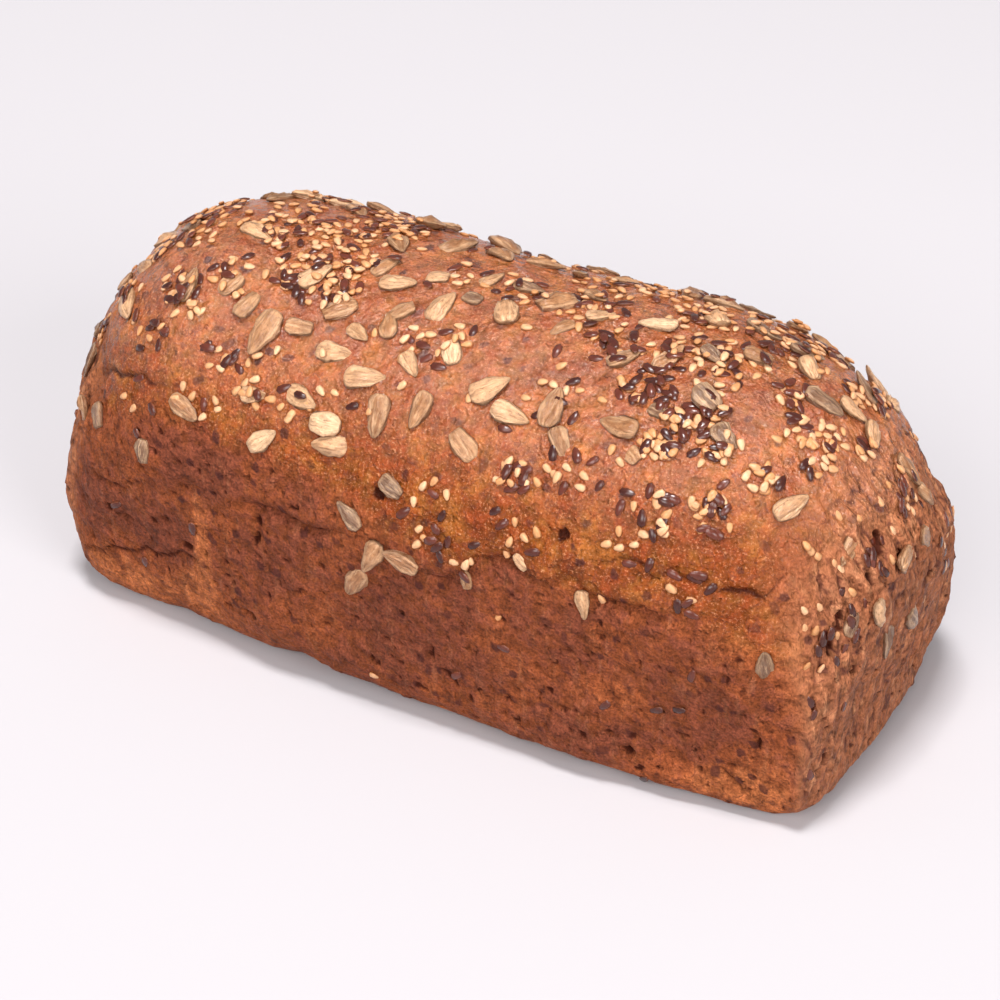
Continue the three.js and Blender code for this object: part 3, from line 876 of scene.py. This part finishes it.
def tin_colour(tree, crust):
    """Crust that baked against the tin: brown, with paler embers and purple-brown patches."""
    colours = bpy.context.scene.crust_colours
    embers = compute(tree, "MULTIPLY_ADD", crust.mottling, 1.2, crust.blotches)
    embers = compute(tree, "MULTIPLY_ADD", crust.streaks, 0.5, embers)
    embers = compute(tree, "SUBTRACT", embers, crust.brown)
    base = blend(
        tree, remap(tree, embers, 1.1, 1.9, 0.0, 0.8), colours.tin_side, colours.ember)
    patch = compute(tree, "MULTIPLY_ADD", crust.blotches, 1.5, crust.brown)
    patch = compute(tree, "MULTIPLY_ADD", crust.mottling, 2.0, patch)
    return blend(tree, remap(tree, patch, 1.75, 2.35, 0.0, 0.8), base, colours.dark_and_shade)


def crack_shade_share(tree, crust):
    """Painted shade of fine cracks: thin dark lines between the blotches, broken up by the
    mottling.
    """
    away = compute(tree, "ABSOLUTE", compute(tree, "SUBTRACT", crust.blotches, 0.5))
    return compute(
        tree, "MULTIPLY", remap(tree, away, 0.0, 0.025, 0.6, 0.0),
        remap(tree, crust.mottling, 0.42, 0.58))


def sunken_share(tree, crust):
    """Seeds that show through the skin, in some parts more than in others."""
    sunken = compute(tree, "MULTIPLY_ADD", crust.mottling, 0.5, crust.buried)
    return compute(
        tree, "MULTIPLY", remap(tree, sunken, 0.32, 0.68),
        remap(tree, crust.clouds, 0.4, 0.6, 0.3, 0.8))


def crust_colour(tree, crust):
    """The whole crust's colour, from its broad parts to its fine marks, with painted shade in its
    hollows and painted highlights on its skin, the ends' fold edges and the corner's line.
    """
    colours = bpy.context.scene.crust_colours
    base = blend(tree, crust.skin, tin_colour(tree, crust), skin_colour(tree, crust))
    base = blend(tree, compute(tree, "MULTIPLY", crust.ends, 0.65), base, colours.end_face)
    # Pale streaks: fibres on the sides, and on the ends partly painted highlight on the fold edges
    pale = compute(
        tree, "MULTIPLY", remap(tree, crust.streaks, 0.52, 0.75, 0.0, 0.5),
        crust.by_end(0.2, 1.0))
    base = blend(tree, pale, base, colours.fibre_and_highlight)
    base = blend(tree, remap(tree, crust.streaks, 0.45, 0.28, 0.0, 0.4), base, colours.dark_and_shade)

    shade = remap(tree, crust.mottling, 0.3, 0.7, 0.6, 1.34)
    base = blend(tree, 1.0, base, shade, "MULTIPLY")
    grained = compute(
        tree, "MULTIPLY", remap(tree, crust.rough, 0.0, 1.0, 0.5, 1.0), crust.by_end(1.0, 0.4))
    shade = remap(tree, crust.grain, 0.34, 0.66, 0.7, 1.28)
    base = blend(tree, grained, base, shade, "MULTIPLY")

    # Painted shade at the bottoms of the end's furrows, in the buried seeds' colour
    furrowed = compute(tree, "MULTIPLY_ADD", crust.blotches, 0.8, crust.furrow_shade)
    # Painted glints: pale specks on the smooth skin that stand for the sheen on its fine bumps
    painted_glints = compute(
        tree, "MULTIPLY", crust.skin, remap(tree, crust.grain, 0.55, 0.7, 0.0, 0.6))
    # Painted shade in creases, folds, holes and pits, made ragged by the mottling
    ragged = compute(tree, "MULTIPLY_ADD", crust.mottling, 0.8, crust.torn)
    # Marks over the base: painted shade in fine cracks and at the bottoms of the end's furrows,
    # painted glints on the skin, dark specks, painted shade in pits, seeds under the skin, painted
    # shade in creases, folds and holes, and the corner's pale line, partly a painted highlight.
    for share, mark in (
            (crack_shade_share(tree, crust), colours.dark_and_shade),
            (remap(tree, furrowed, 0.6, 1.4, 0.0, 0.8), colours.buried),
            (painted_glints, colours.fibre_and_highlight),
            (compute(tree, "MULTIPLY", crust.specks, 0.5), colours.dark_and_shade),
            (compute(tree, "MULTIPLY", crust.pits, 0.55), colours.crease),
            (sunken_share(tree, crust), colours.buried),
            (remap(tree, ragged, 0.58, 1.05, 0.0, 0.95), colours.crease),
            (compute(tree, "MULTIPLY", crust.corner, 0.1), colours.fibre_and_highlight)):
        base = blend(tree, share, base, mark)
    return base


def crust_bumps(tree, crust):
    """The relief that is finer than the mesh, gentler on the ends."""
    gentle = crust.by_end(0.8, 0.3)
    normal = add_node(tree, "ShaderNodeBump", {
        "Height": crust.streaks, "Distance": STREAK_BUMP, "Strength": crust.by_end(0.2, 1.0),
    }).outputs[0]
    for pattern, depth, strength in (
            (crust.folds, FOLD_BUMP, 0.8), (crust.mottling, MOTTLING_BUMP, gentle),
            (crust.grain, GRAIN_BUMP, gentle)):
        normal = add_node(tree, "ShaderNodeBump", {
            "Height": pattern, "Distance": depth, "Strength": strength, "Normal": normal,
        }).outputs[0]
    return normal


def baked_crust_material():
    """Baked bread crust: browned starch with an oily sheen on the smooth skin, and matt with
    pits and sunken seeds where it baked against the tin."""
    material, tree, shader = new_material("baked_crust")
    crust = CrustPatterns(tree)
    roughness = remap(tree, crust.skin, 0.0, 1.0, 0.5, 0.05)
    on_dome = remap(tree, crust.height, SHINE_FROM, CROWN_TO, 0.0, 0.9)
    for name, value in (
            ("Base Color", crust_colour(tree, crust)),
            ("Roughness", compute(tree, "MULTIPLY_ADD", crust.mottling, 0.15, roughness)),
            ("Specular IOR Level", compute(
                tree, "ADD", remap(tree, crust.skin, 0.0, 1.0, 0.08, 0.12), on_dome)),
            ("Normal", crust_bumps(tree, crust))):
        tree.links.new(value, shader.inputs[name])
    return material


def seed_material(name, tones, edge, look):
    """Material of a seed: a tone of its own between the given ones, a paler rim, an edge colour
    over its outline and underside where it meets the crust (partly toasting and partly painted
    shade; on linseed partly a painted highlight), and fine lines along it."""
    material, tree, shader = new_material(name)
    seed = add_node(tree, "ShaderNodeAttribute", attribute_name="seed")
    tone, along, around = add_node(
        tree, "ShaderNodeSeparateColor", {"Color": seed.outputs["Color"]}).outputs
    outline = seed.outputs["Alpha"]
    place = add_node(tree, "ShaderNodeTexCoord").outputs["Object"]
    patches = noise_pattern(tree, place, SEED_PATCH, 3.0)
    span = add_node(tree, "ShaderNodeCombineXYZ", {"X": along, "Y": around, "Z": tone}).outputs[0]
    lines = noise_pattern(tree, scaled(tree, span, (2.5, 18.0, 40.0)), 1.0, 3.0)
    specks = noise_pattern(tree, place, SEED_SPECK, 2.0)
    base = tones[0]
    step = 1 / (len(tones) - 1)
    for i, colour_of_tone in enumerate(tones[1:]):
        base = blend(tree, remap(tree, tone, i * step, (i + 1) * step), base, colour_of_tone)
    rim = compute(tree, "MULTIPLY_ADD", patches, 0.5, outline)
    base = blend(tree, remap(tree, rim, 0.6, 1.0, 0.0, look["rim"]), base, tones[0])
    # Edge colour over the outline and underside: painted shade where the seed meets the crust
    base = blend(tree, remap(tree, rim, look["edge_from"], 1.35, 0.0, 0.9), base, edge)
    lined = look["lined"]
    base = blend(tree, remap(tree, specks, 0.56, 0.7, 0.0, lined), base, edge)
    base = blend(tree, remap(tree, lines, 0.48, 0.66, 0.0, lined), base, edge)
    base = blend(tree, remap(tree, lines, 0.46, 0.3, 0.0, lined), base, tones[0])
    base = blend(tree, 1.0, base, remap(tree, patches, 0.3, 0.7, 0.84, 1.12), "MULTIPLY")
    tree.links.new(base, shader.inputs["Base Color"])
    shader.inputs["Roughness"].default_value = look["roughness"]
    shader.inputs["Specular IOR Level"].default_value = look["shine"]
    bump = add_node(tree, "ShaderNodeBump", {
        "Height": lines, "Distance": look["ridges"], "Strength": 0.8}).outputs[0]
    tree.links.new(bump, shader.inputs["Normal"])
    return material


def finish_piece(bm, name, material):
    """Turns a bmesh in metres into a smooth piece at the origin that rides on the loaf."""
    mesh = bpy.data.meshes.new(name)
    bm.to_mesh(mesh)
    bm.free()
    mesh.shade_smooth()
    mesh.materials.append(material)
    piece = bpy.data.objects.new(name, mesh)
    bpy.context.scene.collection.objects.link(piece)
    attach(piece, "root")
    return piece


class LaidSeed:
    """A seed on the crust: its middle and ways in millimetres, its length, width and
    thickness, and its tone from 0 to 1, or none where it is left to chance."""

    def __init__(self, face, first, second, turn, dimensions, proud, tone, size, holes):
        here, self.up = loaf_point(*block_place(face, first, second, size), size)
        ahead, _ = loaf_point(*block_place(face, first + 0.5, second, size), size)
        behind, _ = loaf_point(*block_place(face, first - 0.5, second, size), size)
        along = ahead - behind
        along = (along - self.up * along.dot(self.up)).normalized()
        across = self.up.cross(along)
        angle = math.radians(turn)
        self.along = along * math.cos(angle) + across * math.sin(angle)
        self.across = self.up.cross(self.along)
        self.size = dimensions
        self.tone = tone
        lift = dimensions[2] * (proud - 0.5)
        self.middle = here + self.up * lift
        self.seat = self.middle + self.up * crust_detail(here, self.up, holes)[0]

    def inside(self, point):
        """From 1 over the middle of the seed to below 0 outside its outline."""
        away = point - self.seat
        along = 2 * away.dot(self.along) / self.size[0]
        across = 2 * away.dot(self.across) / self.size[1]
        return 1 - along ** 2 - across ** 2

    def carry(self, x, y, z):
        """A point of the seed, from its own measure, in metres in the row frame."""
        return (self.seat + self.along * x + self.across * y + self.up * z) * MM


class SeedBed:
    """Remembers where the seeds lie, in cells of the size of a large seed."""

    CELL = 5.0

    def __init__(self):
        self.cells = {}

    def cell(self, point):
        return tuple(math.floor(c / self.CELL) for c in point)

    def add(self, seed):
        self.cells.setdefault(self.cell(seed.seat), []).append(seed)

    def near(self, point):
        i, j, k = self.cell(point)
        for a in (i - 1, i, i + 1):
            for b in (j - 1, j, j + 1):
                for c in (k - 1, k, k + 1):
                    yield from self.cells.get((a, b, c), ())


def seed_ball(sides, rings):
    """A ball of radius 1 with its poles on X, which every seed of a kind is shaped from."""
    bm = bmesh.new()
    bmesh.ops.create_uvsphere(
        bm, u_segments=sides, v_segments=rings, radius=1,
        matrix=Matrix.Rotation(math.pi / 2, 4, "Y"))
    mesh = bpy.data.meshes.new("seed_ball")
    bm.to_mesh(mesh)
    bm.free()
    return mesh


def shape_seed(verts, layer, laid, form, draw):
    """Shapes one ball into a seed and lays it: drawn to a point at +X, dished or broken off by
    chance, and a little crooked and tipped."""
    length, width, thickness = laid.size
    chance = draw()
    tone = chance ** 0.8 if laid.tone is None else laid.tone + (chance - 0.5) / 4
    tone = min(max(tone, 0.0), 1.0)
    point = form["point"] * mix(0.7, 1.2, draw())
    dish = form["dish"] * draw()
    bend = form["bend"] * (draw() - 0.5)
    tip = form["tip"] * (draw() - 0.5) * length / 2
    cut = mix(0.35, 0.6, draw()) if draw() < form["broken"] else 1.0
    crooked = Vector((draw() * 90, draw() * 90, draw() * 90))
    for vert in verts:
        x, y, z = vert.co
        ring = math.sqrt(max(1 - x * x, 1e-6))
        side = y / ring
        narrow = (1 - point * x - 0.3 * point * max(x, 0.0) ** 3) * ring ** -form["blunt"]
        rough = form["rough"] * noise.noise(vert.co * 1.7 + crooked)
        narrow *= 1 + rough + form["rough"] * 0.5 * noise.noise(vert.co * 4 + crooked)
        hollow = 1 - dish * (1 - side * side) * max(z, 0.0) / ring
        around = math.atan2(z, y) / math.pi
        # The outline, and the whole underside where the seed meets the crust, takes the edge
        # colour
        outline = max(abs(side) if z > -0.05 else 1.0, abs(x) ** 3)
        vert[layer] = (tone, 0.5 + 0.5 * x, 0.5 + 0.5 * around, outline)
        along = -max(-x, -cut) if cut < 1 and crooked.x < 45 else min(x, cut)
        ridges = noise.noise(Vector((x * 0.8, side * 3.4, 0)) + crooked)
        ridge = 1 + form["ridge"] * (2 * ridges + math.cos(4 * math.pi * around)) * max(z, 0.0)
        rise = z * narrow * thickness / 2 * hollow * ridge * (1 + rough)
        rise += bend * thickness * (x * x + 0.4 * y * y) + tip * x
        vert.co = laid.carry(along * length / 2, y * narrow * width / 2, rise)


def topping_thickness(laid):
    """How thickly the strewn kernels lie: thick on the crown, thin down the sides, and left
    open where the kernels of the shown side are already placed."""
    crown = smooth(0.25, 0.9, laid.up.z)
    hidden = max(smooth(8, 20, laid.middle.y), smooth(84, 92, -laid.middle.x))
    above_rim = smooth(RIM_HEIGHT - 20, RIM_HEIGHT + 6, laid.middle.z)
    return hidden * (0.08 * above_rim + 0.92 * crown)


def lay_kernels(size, holes):
    """The sunflower kernels: those that stand out first, and then the strewn ones."""
    sizes = bpy.context.scene.seed_sizes

    def lay(face, first, second, turn, length, grey=None):
        dimensions = (length, length * sizes.kernel_width, length * sizes.kernel_thickness)
        tone = None if grey is None else grey / 3
        return LaidSeed(
            face, first, second, turn, dimensions, KERNEL_PROUD, tone, size, holes)

    kernels = [lay("top", *row) for row in KERNELS_ON_TOP]
    kernels += [lay("front", *row) for row in KERNELS_ON_FRONT]
    kernels += [lay("right", *row) for row in KERNELS_ON_RIGHT_END]
    total = len(kernels) + STREWN_KERNELS
    length, width, height = size
    draw = seeded_random(STREWN_SEED)
    faces = ("top", "top", "top", "back", "back", "left")
    for _ in range(STREWN_TRIES):
        face = faces[int(draw() * len(faces))]
        first = (draw() * 2 - 1) * (width if face == "left" else length) / 2
        second = draw()
        second = (second * 2 - 1) * width / 2 if face == "top" else second * height
        turn = draw() * 360
        kernel_length = mix(STREWN_SHORTEST, STREWN_LONGEST, draw())
        luck = draw()
        kernel = lay(face, first, second, turn, kernel_length)
        crowded = any((o.middle - kernel.middle).length < KERNEL_SPACING for o in kernels)
        if not crowded and luck < topping_thickness(kernel):
            kernels.append(kernel)
        if len(kernels) == total:
            break
    return kernels


def handfuls():
    """Every handful: face, place, reach, sesame and linseed. The hidden back and left end are
    strewn like the shown sides, turned round."""
    for x, y, reach, sesame, linseed in HANDFULS_ON_TOP:
        yield "top", x, y, reach, sesame, linseed
        if y < NEAR_FRONT:
            yield "top", -x, -y, reach, sesame, linseed // 3
    for x, z, reach, sesame, linseed in HANDFULS_ON_FRONT:
        yield "front", x, z, reach, sesame, linseed
        yield "back", -x, z, reach, sesame, linseed
    for y, z, reach, sesame, linseed in HANDFULS_ON_RIGHT_END:
        yield "right", y, z, reach, sesame, linseed
        yield "left", -y, z, reach, sesame, linseed


class SmallSeeds:
    """Lays the sesame and the linseed clear of one another, between and on the kernels."""

    def __init__(self, size, holes, kernels):
        sizes = bpy.context.scene.seed_sizes
        self.size = size
        self.holes = holes
        self.draw = seeded_random(SMALL_SEED_START)
        self.lengths = {"sesame": sizes.sesame / MM, "linseed": sizes.linseed / MM}
        self.laid = {"sesame": [], "linseed": []}
        self.bed = SeedBed()
        self.kernel_bed = SeedBed()
        for kernel in kernels:
            self.kernel_bed.add(kernel)

    def try_place(self, kind, face, first, second):
        """A seed at a place, how clear it lies of the others, and whether it is on a kernel."""
        wide, thick, proud = SMALL_SEED_SHAPES[kind]
        long = self.lengths[kind] * mix(0.86, 1.12, self.draw())
        turn = self.draw() * 360
        if face in ("right", "left"):
            turn = 60 + turn / 6
            proud = PROUD_ON_ENDS
        dimensions = (long, long * wide, long * thick)
        seed = LaidSeed(
            face, first, second, turn, dimensions, proud, None, self.size, self.holes)
        on_kernel = False
        for kernel in self.kernel_bed.near(seed.seat):
            cover = kernel.inside(seed.seat)
            if cover > 0:
                on_kernel = True
                seed.seat += seed.up * kernel.size[2] * 0.6 * math.sqrt(cover)
        clear = min(
            ((other.seat - seed.seat).length - SMALL_SEED_CLEARANCE * (other.size[0] + long)
             for other in self.bed.near(seed.seat)), default=1.0)
        return seed, clear, on_kernel

    def lay(self, kind, face, places):
        """Lays a seed at the first good place, or a little higher at the last one."""
        for first, second in places:
            seed, clear, on_kernel = self.try_place(kind, face, first, second)
            if clear > 0 and (not on_kernel or self.draw() < SHARE_ON_KERNELS):
                break
        else:
            seed.seat += seed.up * 0.45 * seed.size[2]
        self.laid[kind].append(seed)
        self.bed.add(seed)

    def round_place(self, face, first, second, reach):
        """Places strewn round a handful's middle."""
        for _ in range(SMALL_SEED_TRIES):
            angle = self.draw() * 2 * math.pi
            away = reach * self.draw() ** 0.6
            across = second + away * math.sin(angle)
            if face != "top":
                across = max(1.0, min(across, self.size[2]))
            yield first + away * math.cos(angle), across

    def lay_handfuls(self):
        for face, first, second, reach, sesame, linseed in handfuls():
            kinds = ["sesame"] * sesame + ["linseed"] * linseed
            while kinds:
                kind = kinds.pop(int(self.draw() * len(kinds)))
                self.lay(kind, face, self.round_place(face, first, second, reach))

    def lay_end_seeds(self):
        for kind, places in (
                ("sesame", SESAME_ON_RIGHT_END), ("linseed", LINSEED_ON_RIGHT_END)):
            for across, up in places:
                self.lay(kind, "right", [(across, up)])
                self.lay(kind, "left", [(-across, up)])

    def lay_singles(self, count):
        length, width, _ = self.size
        for _ in range(count):
            kind = "sesame" if self.draw() < SESAME_SHARE else "linseed"
            first = (self.draw() * 2 - 1) * 0.98 * length / 2
            self.lay(kind, "top", [(first, (self.draw() * 2 - 1) * 0.98 * width / 2)])


def lay_small_seeds(size, holes, kernels):
    """The sesame and the linseed, as two lists of laid seeds."""
    seeds = SmallSeeds(size, holes, kernels)
    seeds.lay_handfuls()
    seeds.lay_end_seeds()
    seeds.lay_singles(bpy.context.scene.seed_sizes.singles)
    return seeds.laid


class LOAF_OT_crust(bpy.types.Operator):
    """Makes the crust: the block's surface carried onto the loaf, with its creases, pits and
    buried seeds as relief"""

    bl_idname = "loaf.crust"
    bl_label = "Make Crust"

    def execute(self, context):
        noise.seed_set(NOISE_SEED)
        size = block_size()
        grid = context.scene.loaf_block.grid / MM
        holes = torn_holes(size)
        bm = bmesh.new()
        bmesh.ops.create_cube(bm, size=2)
        arc = math.pi / 4
        spans = (
            size[0] - (SHOULDER_LEFT + SHOULDER_RIGHT) * (1 - arc),
            size[1] * arc,
            size[2] / 2 + DOME * arc,
        )
        for axis, span in enumerate(spans):
            across = [e for e in bm.edges
                      if abs(e.verts[0].co[axis] - e.verts[1].co[axis]) > 1e-6]
            bmesh.ops.subdivide_edges(
                bm, edges=across, cuts=round(span / grid) - 1, use_grid_fill=True)
        bake = bm.verts.layers.float_color.new("bake")
        faces = bm.verts.layers.float_vector.new("faces")
        half_length, half_width, half_height = (s / 2 for s in size)
        for vert in bm.verts:
            a, b, c = vert.co
            shoulder = SHOULDER_RIGHT if a > 0 else SHOULDER_LEFT
            block_x = even_grid(a, half_length - shoulder, shoulder)
            block_y = even_grid(b, 0.0, half_width)
            block_z = half_height * (1 + c)
            if c > 0:
                block_z = half_height + even_grid(c, 0.0, half_height)
            point, out = loaf_point(block_x, block_y, block_z, size)
            height, baked, shares = crust_detail(point, out, holes)
            vert.co = (point + out * height) * MM
            vert.co.z = max(vert.co.z, 0.0)
            vert[bake] = baked
            vert[faces] = shares
        crust = finish_piece(bm, "crust", baked_crust_material())
        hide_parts("loaf")
        return {"FINISHED"}


class LOAF_OT_seeds(bpy.types.Operator):
    """Makes the three kinds of seed, each kind as one joined mesh on the crust"""

    bl_idname = "loaf.seeds"
    bl_label = "Strew Seeds"

    def execute(self, context):
        noise.seed_set(NOISE_SEED)
        size = block_size()
        holes = torn_holes(size)
        colours = context.scene.seed_colours
        kernels = lay_kernels(size, holes)
        small = lay_small_seeds(size, holes, kernels)
        draw = seeded_random(STREWN_SEED + 1)
        kinds = (
            ("sunflower_kernels", kernels, 18, 10, KERNEL_FORM, seed_material(
                "sunflower_kernel",
                (colours.kernel_bright, colours.kernel_pale, colours.kernel_tan,
                 colours.kernel_grey), colours.kernel_edge_and_shade, KERNEL_LOOK)),
            ("sesame_seeds", small["sesame"], 8, 4, SESAME_FORM, seed_material(
                "sesame", (colours.sesame_pale, colours.sesame_gold), colours.sesame_edge_and_shade,
                SESAME_LOOK)),
            ("linseeds", small["linseed"], 8, 4, LINSEED_FORM, seed_material(
                "linseed", (colours.linseed, colours.linseed_dark), colours.linseed_edge_and_highlight,
                LINSEED_LOOK)),
        )
        for name, seeds, sides, rings, form, material in kinds:
            ball = seed_ball(sides, rings)
            corners = len(ball.vertices)
            bm = bmesh.new()
            for _ in seeds:
                bm.from_mesh(ball)
            bpy.data.meshes.remove(ball)
            layer = bm.verts.layers.float_color.new("seed")
            bm.verts.ensure_lookup_table()
            for i, seed in enumerate(seeds):
                shape_seed(bm.verts[i * corners:(i + 1) * corners], layer, seed, form, draw)
            finish_piece(bm, name, material)
        return {"FINISHED"}


class LOAF_OT_stage(bpy.types.Operator):
    """Sets the camera, a pale floor and soft studio light"""

    bl_idname = "loaf.stage"
    bl_label = "Set Stage"

    def execute(self, context):
        scene = context.scene
        azimuth = math.radians(CAMERA_AZIMUTH)
        elevation = math.radians(CAMERA_ELEVATION)
        back = Vector((
            math.sin(azimuth) * math.cos(elevation),
            -math.cos(azimuth) * math.cos(elevation),
            math.sin(elevation)))
        right = Vector((math.cos(azimuth), math.sin(azimuth), 0))
        up = back.cross(right)
        camera = bpy.data.objects.new("camera", bpy.data.cameras.new("camera"))
        scene.collection.objects.link(camera)
        aim = Vector((0, 0, CAMERA_AIM_HEIGHT)) + right * CAMERA_ASIDE + up * CAMERA_LIFT
        camera.location = aim + back * CAMERA_DISTANCE
        camera.rotation_euler = (-back).to_track_quat("-Z", "Y").to_euler()
        camera.data.lens = CAMERA_LENS
        camera.data.clip_start = 0.05
        scene.camera = camera

        bm = bmesh.new()
        bmesh.ops.create_grid(bm, x_segments=1, y_segments=1, size=FLOOR_HALF_SIZE)
        mesh = bpy.data.meshes.new("floor")
        bm.to_mesh(mesh)
        bm.free()
        material, _, shader = new_material("pale_floor")
        shader.inputs["Base Color"].default_value = srgb("#bfbbbe")
        shader.inputs["Roughness"].default_value = 0.9
        shader.inputs["Specular IOR Level"].default_value = 0.2
        mesh.materials.append(material)
        floor = bpy.data.objects.new("floor", mesh)
        scene.collection.objects.link(floor)

        for name, place, size, power in SOFTBOXES:
            light = bpy.data.lights.new(name, "AREA")
            light.shape = "RECTANGLE"
            light.size, light.size_y = size
            light.energy = power
            lamp = bpy.data.objects.new(name, light)
            lamp.location = place
            aim_at_loaf = Vector(SOFTBOX_AIM) - Vector(place)
            lamp.rotation_euler = aim_at_loaf.to_track_quat("-Z", "Y").to_euler()
            scene.collection.objects.link(lamp)

        world = bpy.data.worlds.new("studio")
        world.use_nodes = True
        background = world.node_tree.nodes["Background"]
        background.inputs["Color"].default_value = srgb("#fffdfe")
        background.inputs["Strength"].default_value = LIGHT_ALL_ROUND
        scene.world = world
        scene.view_settings.view_transform = "Standard"
        return {"FINISHED"}


class LOAF_PT_panel(bpy.types.Panel):
    """Sizes, colours and makers of the loaf"""

    bl_idname = "LOAF_PT_panel"
    bl_label = "Seeded Loaf"
    bl_space_type = "VIEW_3D"
    bl_region_type = "UI"
    bl_category = "Loaf"

    def draw(self, context):
        scene = context.scene
        for group in (scene.loaf_block, scene.seed_sizes, scene.crust_colours, scene.seed_colours):
            for name in group.__annotations__:
                self.layout.prop(group, name)
        for maker in (LOAF_OT_crust, LOAF_OT_seeds, LOAF_OT_stage):
            self.layout.operator(maker.bl_idname)


CLASSES = (
    LoafBlock, SeedSizes, CrustColours, SeedColours,
    LOAF_OT_crust, LOAF_OT_seeds, LOAF_OT_stage, LOAF_PT_panel,
)


def register():
    for cls in CLASSES:
        bpy.utils.register_class(cls)
    bpy.types.Scene.loaf_block = PointerProperty(type=LoafBlock)
    bpy.types.Scene.seed_sizes = PointerProperty(type=SeedSizes)
    bpy.types.Scene.crust_colours = PointerProperty(type=CrustColours)
    bpy.types.Scene.seed_colours = PointerProperty(type=SeedColours)


def unregister():
    del bpy.types.Scene.seed_colours
    del bpy.types.Scene.crust_colours
    del bpy.types.Scene.seed_sizes
    del bpy.types.Scene.loaf_block
    for cls in reversed(CLASSES):
        bpy.utils.unregister_class(cls)


def main():
    register()
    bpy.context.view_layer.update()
    bpy.ops.loaf.stage()
    bpy.ops.loaf.crust()
    bpy.ops.loaf.seeds()


if __name__ == "__main__":
    main()
